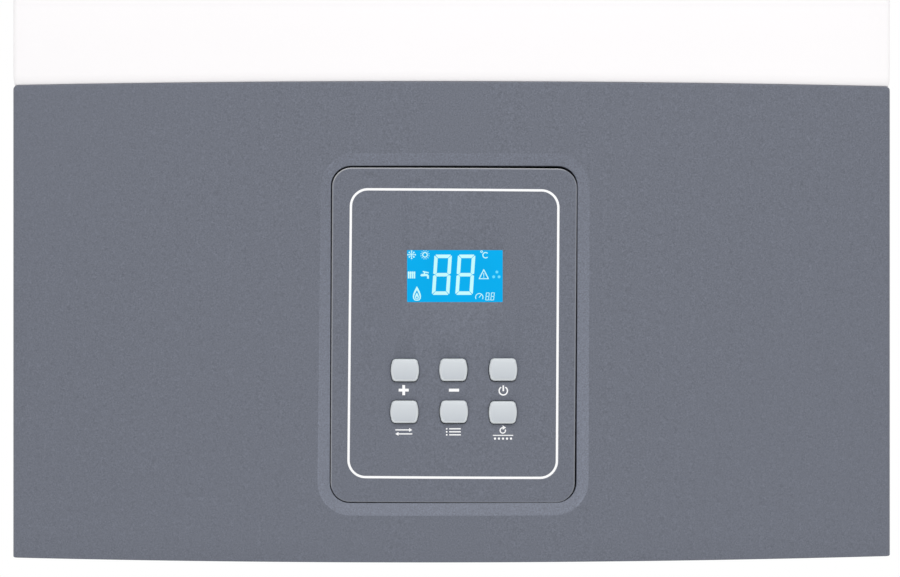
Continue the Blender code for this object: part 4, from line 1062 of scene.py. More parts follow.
# tap
shapes.append((px_poly([(420.2, 275.2), (421.6, 273.9), (427.2, 273.9), (428.9, 275.6), (428.9, 278.6), (427.1, 278.6),
                        (427.1, 276.6), (426.2, 276.0), (421.4, 276.4)]), []))
shapes.append((px_poly([(422.9, 270.9), (428.8, 272.2), (428.6, 273.3), (425.2, 272.8), (424.9, 273.9), (423.7, 273.9),
                        (423.9, 272.5), (422.6, 271.8)]), []))


def flame(cx, cy, k, n=10):
    """A flame's outline round (cx, cy), its height 15.2 k."""
    left = [(0.0, -7.8), (-1.3, -5.6), (-2.8, -2.6), (-3.9, 0.4), (-4.3, 3.0), (-3.9, 5.4), (-2.5, 7.1), (0.0, 7.6)]
    right = [(2.5, 7.1), (3.9, 5.4), (4.3, 3.0), (3.9, 0.4), (2.8, -2.6), (1.3, -5.6)]
    return [(cx + x * k, cy + y * k) for x, y in left + right]


shapes.append((px_poly(flame(416.9, 293.6, 0.95)), [px_poly(flame(416.9, 295.1, 0.63))]))
shapes.append((px_poly(flame(416.9, 296.0, 0.44)), [px_poly(flame(416.9, 297.3, 0.17))]))
# warning triangle
shapes.append((px_poly([(483.5, 269.2), (484.1, 269.2), (488.9, 278.5), (488.6, 279.1), (479.0, 279.1), (478.7, 278.5)]),
               [px_poly([(483.8, 270.7), (487.6, 278.25), (480.0, 278.25)])]))
shapes.append((px_poly([(483.4, 272.9), (484.2, 272.9), (484.1, 276.0), (483.5, 276.0)]), []))
shapes.append(disc(483.8, 277.0, 0.5, 12))
# pressure gauge: an open ring with a needle
shapes.append(ring_arc(479.3, 297.2, 3.7, 0.8, 150, 390, 24))
shapes.append(bar(479.0, 297.6, 481.6, 294.4, 0.7))
# small figures
shapes += digit(487.5, 296.4, 3.6, 7.8, 0.68, 0.8, 0.1, 0.4)
shapes += digit(492.6, 296.4, 3.6, 7.8, 0.68, 0.8, 0.1, 0.4)
shapes.append(disc(489.9, 299.9, 0.45, 10))
# three drops of pressure, fainter
drops = [disc(cx, cy, 1.45, 16) for cx, cy in ((496.9, 272.0), (493.7, 276.8), (499.1, 276.8))]
piece("display_figures", [(decal(shapes, D_LCD - 0.05, D_LCD + 0.1), "lcd_on"),
                          (decal(drops, D_LCD - 0.05, D_LCD + 0.1), "lcd_dim")], "control_panel", smooth=30)

# ================================================================ prints on the module
shapes = []
KX, KZ, KW, KH, KR, KT = 0.25, 104.55, 96.1, 132.8, 8.3, 1.07


def lean(pts):
    """The frame's left line leans out a little towards its foot."""
    return [(x - 0.0041 * max(0.0, 158.0 - z) * (1.0 if x < -20 else max(0.0, (20 - x) / 40)), z) for x, z in pts]


shapes.append((lean(tilt(rounded(KX, KZ, KW, KH, KR, 12))), [lean(tilt(rounded(KX, KZ, KW - 2 * KT, KH - 2 * KT, KR - KT, 12)))]))
# plus, minus, power
c, r, t = (403.7, 390.1), 5.05, 1.4
shapes.append((px_poly([(c[0] - t, c[1] - r), (c[0] + t, c[1] - r), (c[0] + t, c[1] - t), (c[0] + r, c[1] - t),
                        (c[0] + r, c[1] + t), (c[0] + t, c[1] + t), (c[0] + t, c[1] + r), (c[0] - t, c[1] + r),
                        (c[0] - t, c[1] + t), (c[0] - r, c[1] + t), (c[0] - r, c[1] - t), (c[0] - t, c[1] - t)]), []))
shapes.append((px_poly([(448.9, 388.7), (459.1, 388.7), (459.1, 391.6), (448.9, 391.6)]), []))
shapes.append(ring_arc(503.3, 390.8, 4.15, 1.3, -60, 240, 30))
shapes.append((px_poly([(502.5, 385.4), (504.1, 385.4), (504.1, 391.2), (502.5, 391.2)]), []))
# change over: two opposite arrows
for sx, y in ((1, 429.9), (-1, 433.9)):
    x0, x1 = 403.8 - sx * 8.5, 403.8 + sx * 8.5
    shapes.append((px_poly([(x0, y - 0.55), (x1 - sx * 3.2, y - 0.55), (x1 - sx * 3.2, y - 1.9), (x1, y),
                            (x1 - sx * 3.2, y + 1.9), (x1 - sx * 3.2, y + 0.55), (x0, y + 0.55)]), []))
# list: three lines, each with its point
for k in range(3):
    y = 428.8 + 3.0 * k
    shapes.append(disc(446.7, y, 0.85, 12))
    shapes.append((px_poly([(449.2, y - 0.6), (460.8, y - 0.6), (460.8, y + 0.6), (449.2, y + 0.6)]), []))
# start again: a circle that ends in an arrow
shapes.append(ring_arc(502.8, 430.4, 2.7, 1.1, -20, 270, 26))
shapes.append((px_poly([(502.6, 425.3), (506.0, 427.6), (502.6, 429.9)]), []))
shapes.append((px_poly([(492.9, 434.9), (513.2, 434.9), (513.2, 435.8), (492.9, 435.8)]), []))
# held for a while: five points
shapes += [disc(495.0 + 4.0 * k, 438.6, 1.15, 12) for k in range(5)]
piece("module_prints", (decal(shapes, -0.04, 0.08), "ink"), "control_panel", smooth=30)

# ================================================================ more shape helpers
def soft(bm, width=0.5, segments=2, angle=30.0):
    """Rounds a shape's sharp edges."""
    limit = math.radians(angle)
    sharp = [e for e in bm.edges if len(e.link_faces) == 2 and e.calc_face_angle(0.0) > limit]
    bmesh.ops.bevel(bm, geom=sharp, offset=width, offset_type="OFFSET", segments=segments, profile=0.5,
                    affect="EDGES", clamp_overlap=True)
    return bm


def strip(points, t, r, n=5):
    """Outline of a bent strip of thickness t, whose middle line runs through the points with bends of radius r."""
    mid = [Vector((p.x, p.y)) for p in arc_route([(x, y, 0) for x, y in points], r, n)]
    sides = ([], [])
    for i, p in enumerate(mid):
        d = (mid[min(i + 1, len(mid) - 1)] - mid[max(i - 1, 0)]).normalized()
        across = Vector((-d.y, d.x)) * t / 2
        sides[0].append(tuple(p + across))
        sides[1].append(tuple(p - across))
    return sides[0] + sides[1][::-1]


def slab(lo, hi, r, axis="Z", edge=0.0, holes=(), segments=2):
    """A block with rounded corners about one axis, and softened edges."""
    u, v, w = {"Z": (0, 1, 2), "Y": (0, 2, 1), "X": (1, 2, 0)}[axis]
    outline = rounded((lo[u] + hi[u]) / 2, (lo[v] + hi[v]) / 2, hi[u] - lo[u], hi[v] - lo[v], r, 6)
    bm = prism(outline, lo[w], hi[w], axis, holes)
    return soft(bm, edge, segments, 40.0) if edge else bm


def nut(at, axis, across, h, bore=0.0, turn=0.0, steps=48):
    """A hexagon nut with chamfered corners, from `at` along the axis."""
    bm = bmesh.new()
    rows = []
    flat, c = across / 2, min(h * 0.18, across * 0.07)
    for z, k in ((0.0, 0.0), (c, 1.0), (h - c, 1.0), (h, 0.0)):
        row = []
        for i in range(steps):
            a = math.tau * i / steps
            s = (a + math.pi / 6) % (math.pi / 3) - math.pi / 6
            r = flat / math.cos(s)
            r = r if k else flat * 0.985
            row.append((r * math.cos(a + turn), r * math.sin(a + turn), z))
        rows.append(row)
    if bore:
        hole = [(bore * math.cos(math.tau * i / steps + turn), bore * math.sin(math.tau * i / steps + turn))
                for i in range(steps)]
        rows = [[(x, y, 0.0) for x, y in hole]] + rows + [[(x, y, h) for x, y in hole]]
        rows.append(rows[0])
        loops(bm, rows)
    else:
        grid = loops(bm, rows)
        bm.faces.new(grid[0][::-1])
        bm.faces.new(grid[-1])
    weld(bm, 1e-4)
    bm.transform(Matrix.Translation(at) @ AXES[axis].to_4x4())
    return bm


def thread(at, axis, r, depth, length, pitch, bore, steps=40, start=0.0):
    """A threaded end with a bore, from `at` along the axis: turned ridges at the thread's pitch."""
    prof = [(bore, start), (r - depth - 0.3, start)]
    z = start + 0.6
    while z + pitch < start + length - 0.3:
        prof += [(r - depth, z), (r, z + pitch * 0.38), (r, z + pitch * 0.56), (r - depth, z + pitch * 0.94)]
        z += pitch
    prof += [(r - depth, start + length), (bore, start + length)]
    return lathe(prof, at, axis, steps, True)


def ring_of(count, radius, centre, axis, make, first=0.0):
    """The same small shape repeated round a circle. make(place, angle) builds one of them."""
    out = []
    for k in range(count):
        a = first + math.tau * k / count
        u, v = radius * math.cos(a), radius * math.sin(a)
        p = {"Z": (centre[0] + u, centre[1] + v, centre[2]), "Y": (centre[0] + u, centre[1], centre[2] + v),
             "X": (centre[0], centre[1] + u, centre[2] + v)}[axis]
        out.append(make(p, a))
    return out


def turned(bm, angle, axis, at):
    m = Matrix.Translation(at) @ Matrix.Rotation(angle, 4, axis) @ Matrix.Translation(-Vector(at))
    bm.transform(m)
    return bm


def socket_screw(at, normal, r=2.6, h=2.6):
    """A cylindrical head with a hexagon socket."""
    n = Vector(normal).normalized()
    rows = []
    bm = bmesh.new()
    steps = 24

    def ring(rad, z, hexed=False):
        row = []
        for i in range(steps):
            a = math.tau * i / steps
            q = rad / math.cos((a + math.pi / 6) % (math.pi / 3) - math.pi / 6) if hexed else rad
            row.append((q * math.cos(a), q * math.sin(a), z))
        return row
    rows = [ring(r, 0), ring(r, h * 0.88), ring(r * 0.9, h), ring(r * 0.52, h, True), ring(r * 0.52, h * 0.35, True)]
    grid = loops(bm, rows)
    bm.faces.new(grid[0][::-1])
    bm.faces.new(grid[-1])
    bmesh.ops.recalc_face_normals(bm, faces=bm.faces)
    bm.transform(Matrix.Translation(at) @ Vector((0, 0, 1)).rotation_difference(n).to_matrix().to_4x4())
    return bm


def pan_screws(spots, normal, r=3.2, h=1.6):
    """Pan-head screws as (heads, dark crosses painted as the shade in their recesses)."""
    n = Vector(normal).normalized()
    heads = merged([screw(p, n, r, h) for p in spots])
    marks = merged([cross(Vector(p) + n * (h * 0.93), n, r * 0.5) for p in spots])
    return [(heads, "zinc"), (marks, "dark")]


def press(bm, outline, holes, face, steps, put):
    """A flat field with pressed areas. steps lists, for each area, rings of (outline, height) from its foot inwards;
    the last ring is filled. put(u, v, h) gives a corner's place."""
    region(bm, outline, [s[0][0] for s in steps] + list(holes), lambda u, v: put(u, v, face))
    for rings in steps:
        loops(bm, [[put(u, v, h) for u, v in ring] for ring, h in rings])
        top = rings[-1]
        inner = [h for h in holes if inside(h[0], top[0])]
        region(bm, top[0], inner, lambda u, v: put(u, v, top[1]))


def knob_shape(r, lobes, depth, lo, hi, at, axis, dish=1.2, rounding=1.6, sign=1):
    """A fluted hand knob between lo and hi along the axis, dished at its outer end (hi)."""
    n = lobes * 12

    def ring(scale, z, flat=0.0):
        row = []
        for i in range(n):
            a = math.tau * i / n
            d = depth * (0.5 - 0.5 * math.cos(lobes * a)) * (1 - flat)
            q = (r - d) * scale
            row.append((q * math.cos(a), q * math.sin(a), z))
        return row
    span = abs(hi - lo)
    s = 1 if hi > lo else -1
    k = rounding
    levels = [(1 - k / r, 0.0), (1 - 0.3 * k / r, 0.3 * k), (1.0, k), (1.0, span - k), (1 - 0.3 * k / r, span - 0.3 * k),
              (1 - k / r, span), (0.72, span), (0.66, span - dish * 0.5), (0.60, span - dish)]
    rows = [ring(sc, s * z, 0.0 if i < 6 else 1.0) for i, (sc, z) in enumerate(levels)]
    bm = bmesh.new()
    grid = loops(bm, rows)
    bm.faces.new(grid[0][::-1])
    bm.faces.new(grid[-1])
    bmesh.ops.recalc_face_normals(bm, faces=bm.faces)
    place = {"Y": (at[0], lo, at[1]), "Z": (at[0], at[1], lo), "X": (lo, at[0], at[1])}[axis]
    bm.transform(Matrix.Translation(place) @ AXES[axis].to_4x4())
    return bm


def spangle(name, base=(0.60, 0.61, 0.62)):
    """Hot-dip galvanised sheet: pale crystals of slightly different grey and gloss."""
    m = Nodes(name, 0.4, 1.0)
    cells = m.new("ShaderNodeSeparateColor")
    m.link(m.voronoi(75.0, out="Color", vector=None), cells.inputs["Color"])
    cloud, fine = m.noise(9.0, 3.0), m.noise(900.0, 2.0)
    c = m.mix(m.span(cells.outputs["Red"], 0.0, 1.0, 0.0, 1.0), scaled(base, 0.90), scaled(base, 1.06))
    c = m.mix(m.span(cloud, 0.0, 0.5), c, scaled(base, 0.88))
    m.colour(m.mix(m.math("MULTIPLY", m.edges(), 0.5), c, scaled(base, 1.3)))
    m.rough(m.span(cells.outputs["Green"], 0.34, 0.50, 0.0, 1.0))
    m.bump(fine, 0.05, 0.0002)
    return m.mat


def laminated(name, base=(0.30, 0.30, 0.31), axis="Y"):
    """A stack of thin steel sheets, seen on edge."""
    m = Nodes(name, 0.45, 1.0)
    lines, cloud = m.wave(260.0, axis), m.noise(40.0, 3.0)
    c = m.mix(m.span(lines, 0.0, 1.0, 0.2, 0.8), scaled(base, 0.6), scaled(base, 1.15))
    c = m.mix(m.span(cloud, 0.0, 0.4), c, (0.22, 0.15, 0.10))
    m.colour(m.mix(m.math("MULTIPLY", m.edges(), 0.4), c, scaled(base, 1.6)))
    m.rough(m.span(cloud, 0.38, 0.58))
    m.bump(lines, 0.4, 0.0003)
    return m.mat


def winding(name, axis="Y"):
    """Enamelled copper wire, wound in layers."""
    m = Nodes(name, 0.3, 1.0)
    lines, cloud = m.wave(420.0, axis), m.noise(60.0, 3.0)
    c = m.mix(m.span(lines, 0.0, 1.0, 0.1, 0.9), (0.25, 0.07, 0.03), (0.78, 0.30, 0.13))
    c = m.mix(m.span(cloud, 0.0, 0.3), c, (0.40, 0.14, 0.06))
    m.colour(m.mix(m.math("MULTIPLY", m.edges(), 0.4), c, (0.85, 0.42, 0.22)))
    m.rough(m.span(cloud, 0.22, 0.36))
    m.bump(lines, 0.5, 0.0003)
    return m.mat


MAT["spangle"] = spangle("galvanised_sheet")
MAT["stack"] = laminated("stator_stack")
MAT["coil"] = winding("stator_coil")
MAT["cream_trim"] = moulded("cream_trim_skin", (0.72, 0.70, 0.62), 0.42, 0.04)
MAT["steel_bright"] = sheet_metal("steel_bright_skin", (0.70, 0.70, 0.70), (30.0, 1.0, 1.0), (0.18, 0.3))

# ================================================================ casing: bracket, rear panel, sides, top
holes = [rounded(s * 125, 640, 9, 16, 4.4, 8) for s in (-1, 1)] + [circle(x, 640, 3.4, 24) for x in (-60, 0, 60)]
rail = soft(prism(rounded(0, 640, 300, 50, 3.0, 6), -2.5, 0.0, "Y", holes), 0.35, 2, 60.0)
hooks = []
for s in (-1, 1):
    hooks.append(soft(prism(strip([(-0.6, 661.25), (-18.75, 661.25), (-18.75, 676.0)], 2.5, 3.2, 6),
                            s * 95 - 28, s * 95 + 28, "X"), 0.35, 2, 60.0))
    for k in (-1, 0, 1):          # gussets pressed into each hook's bend
        x = s * 95 + k * 17
        hooks.append(soft(prism([(-2.6, 659.4), (-2.6, 654.0), (-3.6, 654.0), (-8.6, 659.4)], x - 1.6, x + 1.6, "X"), 0.5, 2))
piece("bracket_rail", [(merged([rail] + hooks), "zinc")], "casing", ["wall_bracket"], smooth=40,
      weighted=True)

# The rear panel: a tray with pressed fields, windows over the hooks and screw slots, and folded corners.
bm = bmesh.new()
TY = -12.8
outer_loop = rounded(0, 349, 406, 692, 3.0, 6)


def tray_ring(inset, y):
    return [(x, y, z) for x, z in rounded(0, 349, 406 - 2 * inset, 692 - 2 * inset, max(0.8, 3.0 - inset), 6)]


loops(bm, [tray_ring(0.0, -26.8), tray_ring(0.0, -15.0), tray_ring(0.15, -14.1), tray_ring(0.6, -13.4), tray_ring(1.2, -12.95),
           tray_ring(2.0, TY)])
fields = []
for cz, h in ((120, 170), (330, 170), (510, 130)):
    for cx in (-98, 98):
        fields.append([(rounded(cx, cz, 168, h, 14, 8), 0.0), (rounded(cx, cz, 166.6, h - 1.4, 13.3, 8), 0.25),
                       (rounded(cx, cz, 162.6, h - 5.4, 11.3, 8), 1.55), (rounded(cx, cz, 161.2, h - 6.8, 10.6, 8), 1.8)])
holes = [rounded(s * 99.5, 644.4, 73, 36.8, 2.5, 5) for s in (-1, 1)]
press(bm, rounded(0, 349, 402, 688, 1.0, 6), holes, 0.0, fields, lambda u, v, h: (u, TY - h, v))
weld(bm, 5e-3)
for f in bm.faces:
    f.normal_update()
back_face = max((f for f in bm.faces), key=lambda f: f.calc_area())
if back_face.normal.y < 0:
    bmesh.ops.reverse_faces(bm, faces=bm.faces)
tray_faces = bm

piece("rear_tray", (tray_faces, "spangle"), "casing", ["rear_panel"], solid=1.2, smooth=25, weighted=True)
spots = [(x, TY, z) for x in (-193, 193) for z in (20, 235, 450, 678)]
piece("rear_tray_screws", pan_screws(spots, (0, 1, 0), 3.4, 1.6), "casing", smooth=35)

# Side panels: folded sheet, with the front return screwed to the frame.
for side, s in (("left", -1), ("right", 1)):
    mid = [(s * 190.0, -232.9), (s * 204.4, -232.9), (s * 204.4, -0.6), (s * 192.0, -0.6)]
    bm = prism(strip(mid, 1.2, 1.6, 6), 0.0, 698.5, "Z")
    spots = [(s * 195.5, -233.5, z) for z in (36, 250, 466, 676)]
    hem = merged([soft(box((min(s * 203.7, s * 200.7), -222, z - 0.6), (max(s * 203.7, s * 200.7), -12, z + 0.6)), 0.5, 2)
                  for z in (0.9, 697.4)])
    piece("side_sheet_" + side, [(bm, "white"), (hem, "white")] + pan_screws(spots, (0, -1, 0), 2.9, 1.0), "casing",
          ["side_panel_" + side], smooth=40, weighted=True)

# Top panel
holes = [circle(0, -150, 51.0, 64), circle(-125, -130, 38.0, 48)]
bm = soft(prism(rounded(0, -116.85, 410, 233.3, 1.5, 5), 698.8, 700.0, "Z", holes), 0.45, 2, 60.0)
lip = soft(prism(strip([(-228.0, 699.3), (-232.9, 699.3), (-232.9, 688.0)], 1.2, 1.4, 5), -189, 189, "X"), 0.3, 2, 60.0)
spots = [(x, y, 700.0) for x in (-192, 192) for y in (-18, -116, -214)] + [(-70, -14, 700.0), (70, -14, 700.0)]
piece("top_sheet", [(merged([bm, lip]), "white")] + pan_screws(spots, (0, 0, 1), 3.2, 1.5), "casing", ["top_panel"],
      smooth=40, weighted=True)

blank_bm = lathe([(0, 1.6), (30, 1.6), (31.5, 2.2), (33, 2.9), (38.5, 3.0), (40, 2.7), (41.6, 1.6), (43, 1.4), (46.4, 1.4), (47, 1.0),
                  (47, 0), (0, 0)], (-125, -130, 700.3), "Z", 72)
spots = ring_of(3, 44.2, (-125, -130, 701.7), "Z", lambda p, a: p, 0.5)
seal = lathe([(38.5, 0), (46.8, 0), (46.8, 0.3), (38.5, 0.3)], (-125, -130, 700.0), "Z", 72, True)
piece("intake_blank_disc", [(blank_bm, "zinc"), (seal, "rubber")] + pan_screws(spots, (0, 0, 1), 2.3, 1.3), "casing",
      ["air_intake_blank"], smooth=35)

# Flue collar: cast ring with a screwed flange, webs and two capped test points.
prof = [(50.0, 700.4), (69.2, 700.4), (70.0, 701.2), (70.0, 703.2), (69.2, 704.0), (56.0, 704.0), (53.6, 704.8), (52.4, 706.6),
        (52.0, 709.0), (52.0, 722.0), (52.4, 722.6), (52.4, 724.4), (52.0, 725.0), (52.0, 729.8), (51.4, 731.0), (50.6, 731.0),
        (50.0, 730.2), (50.0, 716.0), (50.4, 715.4), (50.4, 713.0), (50.0, 712.4)]
collar_bm = lathe(prof, (0, -150, 0), "Z", 96, True)


def web(p, a):
    b = prism([(51.9, 703.8), (66.0, 703.8), (52.0, 717.0)], -1.3, 1.3, "Y")
    soft(b, 0.5, 2, 40.0)
    b.transform(Matrix.Translation((0, -150, 0)) @ Matrix.Rotation(a, 4, "Z"))
    return b


webs = merged(ring_of(8, 1.0, (0, -150, 0), "Z", web, math.radians(22.5)))
spots = ring_of(4, 62.5, (0, -150, 704.0), "Z", lambda p, a: p, math.radians(45))
caps = []
for a in (math.radians(200), math.radians(340)):
    caps.append(lathe([(0, 8.5), (4.2, 8.5), (5.0, 7.8), (5.0, 1.2), (6.0, 1.0), (6.0, 0), (0, 0)],
                      (62.0 * math.cos(a), -150 + 62.0 * math.sin(a), 704.0), "Z", 28))
gasket = lathe([(50.4, 700.0), (69.4, 700.0), (69.4, 700.4), (50.4, 700.4)], (0, -150, 0), "Z", 96, True)
lip_seal = lathe([(48.9, 727.6), (50.0, 727.2), (50.0, 729.2), (49.2, 729.0)], (0, -150, 0), "Z", 96, True)
piece("flue_collar_casting", [(merged([collar_bm, webs]), "cast"), (merged(caps), "black"), (merged([gasket, lip_seal]), "rubber")]
      + pan_screws(spots, (0, 0, 1), 3.6, 2.0), "casing", ["flue_collar"], smooth=35)

prof = [(28.5, 691.0), (36.4, 691.0), (37.0, 691.5), (37.0, 693.0), (36.4, 693.5), (31.6, 693.5), (30.4, 694.2), (30.0, 695.5), (30.0, 712.6),
        (30.8, 713.4), (31.2, 714.6), (30.8, 715.8), (30.0, 716.6), (30.0, 727.2), (29.6, 728.0), (28.9, 728.0), (28.5, 727.4)]
spots = ring_of(4, 34.0, (0, -150, 693.5), "Z", lambda p, a: p, math.radians(45))
ring = lathe([(29.9, 721.0), (31.4, 721.6), (31.6, 722.8), (31.4, 724.0), (29.9, 724.6)], (0, -150, 0), "Z", 72, True)
piece("exhaust_spigot_tube", [(lathe(prof, (0, -150, 0), "Z", 72, True), "steel_bright"), (ring, "rubber")]
      + pan_screws(spots, (0, 0, 1), 2.2, 1.3), "casing", ["exhaust_spigot"], smooth=35)

# ================================================================ combustion chamber, its front panel and the burner
def u_section(inset, t):
    x, y = 142 - inset, -108 - inset
    mid = [(-x + t / 2, -284), (-x + t / 2, y - t / 2), (x - t / 2, y - t / 2), (x - t / 2, -284)]
    return strip(mid, t, 3.0, 5)


jacket = prism(u_section(0.0, 1.0), 305, 465, "Z")
lining = prism(u_section(1.05, 1.9), 306, 464, "Z")
ribs = []
for s in (-1, 1):
    for z in (330, 360, 410, 440):
        ribs.append(rod((s * 141.8, -270, z), (s * 141.8, -122, z), 1.4, 12))
spots = [(s * 142.0, y, z) for s in (-1, 1) for z in (314, 456) for y in (-262, -196, -130)]
side_screws = []
for s in (-1, 1):
    side_screws += pan_screws([p for p in spots if p[0] * s > 0], (s, 0, 0), 2.6, 1.3)
piece("chamber_jacket", [(merged([jacket] + ribs), "aluzinc"), (lining, "fibre")] + side_screws, "casing", ["combustion_chamber"],
      smooth=40, weighted=True)

bm = bmesh.new()
PF, PB, PT = -286.6, -284.4, 1.8
hole = circle(62, 345, 11.5, 32)
rings = [(rounded(0, 383, 262, 140, 10, 8), 0.0), (rounded(0, 383, 260.6, 138.6, 9.3, 8), 0.3), (rounded(0, 383, 257, 135, 7.6, 8), 1.5),
         (rounded(0, 383, 255.6, 133.6, 7.0, 8), PT)]
press(bm, rounded(0, 383, 286.8, 164.8, 4.0, 6), [hole], 0.0, [rings], lambda u, v, h: (u, PF - h, v))
loops(bm, [[(x, y, z) for x, z in rounded(0, 383, 286.8 + o, 164.8 + o, 4.0 + o / 2, 6)]
           for o, y in ((0.0, PF), (0.7, PF + 0.2), (1.2, PF + 0.7), (1.2, PB))])
loops(bm, [[(x, PF - PT, z) for x, z in hole], [(x, PB, z) for x, z in hole]])
region(bm, rounded(0, 383, 288, 166, 4.6, 6), [hole], lambda u, v: (u, PB, v))
weld(bm, 5e-3)
spots = [(x, PF, z) for x in (-136, -80, 0, 80, 136) for z in (306.5, 459.5)] + [(x, PF, 383) for x in (-138, 138)]
beads = merged([soft(slab((-112, PF - PT - 0.5, z - 3), (-12 if z < 370 else 112, PF - PT + 0.2, z + 3), 2.9, "Y"), 0.4, 2, 40)
                for z in (340, 372, 400, 428)])
piece("chamber_door", [(merged([bm, beads]), "aluzinc")] + pan_screws(spots, (0, -1, 0), 3.2, 1.6), "casing",
      ["chamber_front_panel"], smooth=40, weighted=True)

frame_ring = lathe([(9.4, -2.4), (13.6, -2.4), (14.5, -1.8), (14.5, -0.3), (11.0, -0.3), (11.0, 3.6), (9.4, 3.6)],
                   (62, -288.4, 345), "Y", 40, True)
pane = lathe([(0, -1.2), (9.4, -1.2), (9.4, 1.4), (0, 1.4)], (62, -288.4, 345), "Y", 40)
spots = [(62 + s * 12.0, -290.8, 345) for s in (-1, 1)]
piece("sight_glass_pane", [(pane, "glass"), (frame_ring, "zinc")] + pan_screws(spots, (0, -1, 0), 1.7, 0.6), "casing", ["sight_glass"],
      smooth=35)

N_BLADE, PITCH = 13, 19.5
BX = [-PITCH * (N_BLADE - 1) / 2 + i * PITCH for i in range(N_BLADE)]
blades, mouths, ports = [], [], []
for x in BX:
    out = [(x - 4.8, 264), (x - 4.8, 285), (x - 3.0, 290), (x - 3.0, 300), (x - 5.0, 306), (x - 5.0, 321), (x - 4.4, 325.5), (x - 3.0, 328.4),
           (x - 1.2, 329.3), (x + 1.2, 329.3), (x + 3.0, 328.4), (x + 4.4, 325.5), (x + 5.0, 321), (x + 5.0, 306), (x + 3.0, 300), (x + 3.0, 290),
           (x + 4.8, 285), (x + 4.8, 264)]
    blades.append(prism(out, -266.5, -127.5, "Y"))
    mouths.append(lathe([(4.4, 7.5), (4.4, 3.4), (5.2, 1.5), (6.8, 0.4), (8.4, 0.0), (8.4, 0.6), (7.1, 1.1), (5.9, 2.1), (5.2, 3.8), (5.2, 7.5)],
                        (x, -270.0, 272.4), "Y", 28, True))
    for k in range(32):
        y = -262.5 + 4.2 * k
        ports.append(box((x - 2.9, y, 328.2), (x + 2.9, y + 1.6, 330.0)))
front_bar = prism(rounded(0, 276.5, 252, 29, 2, 4), -268.6, -267.4, "Y", [circle(x, 272.4, 7.4, 24) for x in BX])
rear_bar = prism(rounded(0, 276.5, 252, 29, 2, 4), -125.2, -124.0, "Y")
ends = [soft(box((s * 125.4 - 0.6, -268.6, 262.0), (s * 125.4 + 0.6, -124.0, 300.0)), 0.3, 1) for s in (-1, 1)]
keel = [box((-125, y - 0.6, 262.0), (125, y + 0.6, 268.0)) for y in (-235, -160)]
piece("burner_blades", [(merged(blades + [front_bar, rear_bar] + ends + keel), "steel"), (merged(mouths), "steel_bright"),
                        (merged(ports), "steel")], "casing", ["burner"], smooth=40, weighted=True)

rail = tube([(-120.5, -284, 272), (120.5, -284, 272)], 8.5, smooth=False, sides=36)
plugs = [lathe([(0, 0), (8.0, 0), (8.5, 0.6), (8.5, 1.5), (0, 1.5)], (s * 121.25 - 0.75, -284, 272), "X", 36) for s in (-1, 1)]
feed = tube([(30, -284, 268), (30, -284, 244), (30, -276, 230), (30, -258, 226), (30, -200, 226), (30, -174, 222), (30, -165, 208),
             (30, -165, 196)], 6.5, 4.0, 32)
jets = merged([nut((x, -276.6, 272), "Y", 6.6, 3.0) for x in BX] +
              [lathe([(0, 0), (2.9, 0), (2.9, 2.0), (1.6, 3.0), (0.5, 3.0), (0.5, 2.6), (0, 2.6)], (x, -273.6, 272), "Y", 16) for x in BX])
joint = lathe([(6.5, 0), (9.4, 1.2), (9.4, 4.5), (6.5, 6.5)], (30, -284, 256.5), "Z", 36, True)
tail = nut((30, -165, 186.5), "Z", 19.5, 10.0, 6.6)
cone = lathe([(6.5, 196.5), (8.6, 196.5), (7.6, 199.0), (6.5, 201.0)], (30, -165, 0), "Z", 32, True)
tabs = [slab((s * 106 - 6, -291.9, 276), (s * 106 + 6, -290.7, 280.1), 0.4, "Y") for s in (-1, 1)]
piece("manifold_pipe", [(merged([rail, feed] + plugs + tabs), "aluzinc"), (merged([jets_part for jets_part in (jets, tail, cone, joint)]), "brass")],
      "casing", ["gas_manifold"], smooth=40)

stem = lathe([(0, 284), (2.2, 284), (2.6, 284.5), (3.4, 287), (3.4, 290), (2.7, 290.5), (2.7, 292.5), (3.4, 293), (3.4, 296), (2.7, 296.5),
              (2.7, 298.5), (3.4, 299), (3.4, 306), (2.4, 309.4), (1.4, 310), (0, 310)], (-90, -277.6, 0), "Z", 28)
pin = tube([(-90, -277.6, 308), (-90, -277.6, 330), (-90, -276, 337), (-90, -270, 341), (-90, -256, 342)], 1.1, 2.0, 12)
piece("electrode_rod", [(stem, "ceramic"), (pin, "steel_bright")], "casing", ["ignition_electrode"], smooth=40)

# ================================================================ primary heat exchanger: thin fins on five tubes
TUBES_Y = [-132, -164, -196, -228, -260]
END_X = 132.5
top_edge, low_edge = [], []
for k in range(81):
    y = -280 + 168 * k / 80
    wave = 0.5 + 0.5 * math.cos((y + 132) * math.tau / 32)
    top_edge.append((y, 543 - 2.2 * (1 - wave)))
    low_edge.append((y, 467 + 3.2 * (1 - wave) ** 2))
fin_outline = low_edge + top_edge[::-1]
fins = []
count = 76
for k in range(count + 1):
    x = -123.8 + 247.6 * k / count
    fins.append(prism(fin_outline, x - 0.25, x + 0.25, "X"))
plates = [prism([(-281 + 1.4, 466.8 + 0.4), (-112.2, 467.2), (-112.2, 542.8), (-279.6, 542.8)], s * 127.6 - 0.7, s * 127.6 + 0.7, "X")
          for s in (-1, 1)]
tubes = [tube([(-END_X + (1.0 if i in (1, 2, 3, 0) else 0), y, 505), (END_X, y, 505)], 8.0, smooth=False, sides=32, caps=False)
         for i, y in enumerate(TUBES_Y)]
collars, bends = [], []
for y in TUBES_Y:
    for s in (-1, 1):
        collars.append(lathe([(8.0, 0), (9.8, 0), (9.4, 1.4), (8.0, 2.6)], (s * 128.3, y, 505), "X", 32, True) if s > 0 else
                       lathe([(8.0, 0), (9.8, 0), (9.4, -1.4), (8.0, -2.6)], (s * 128.3, y, 505), "X", 32, True))
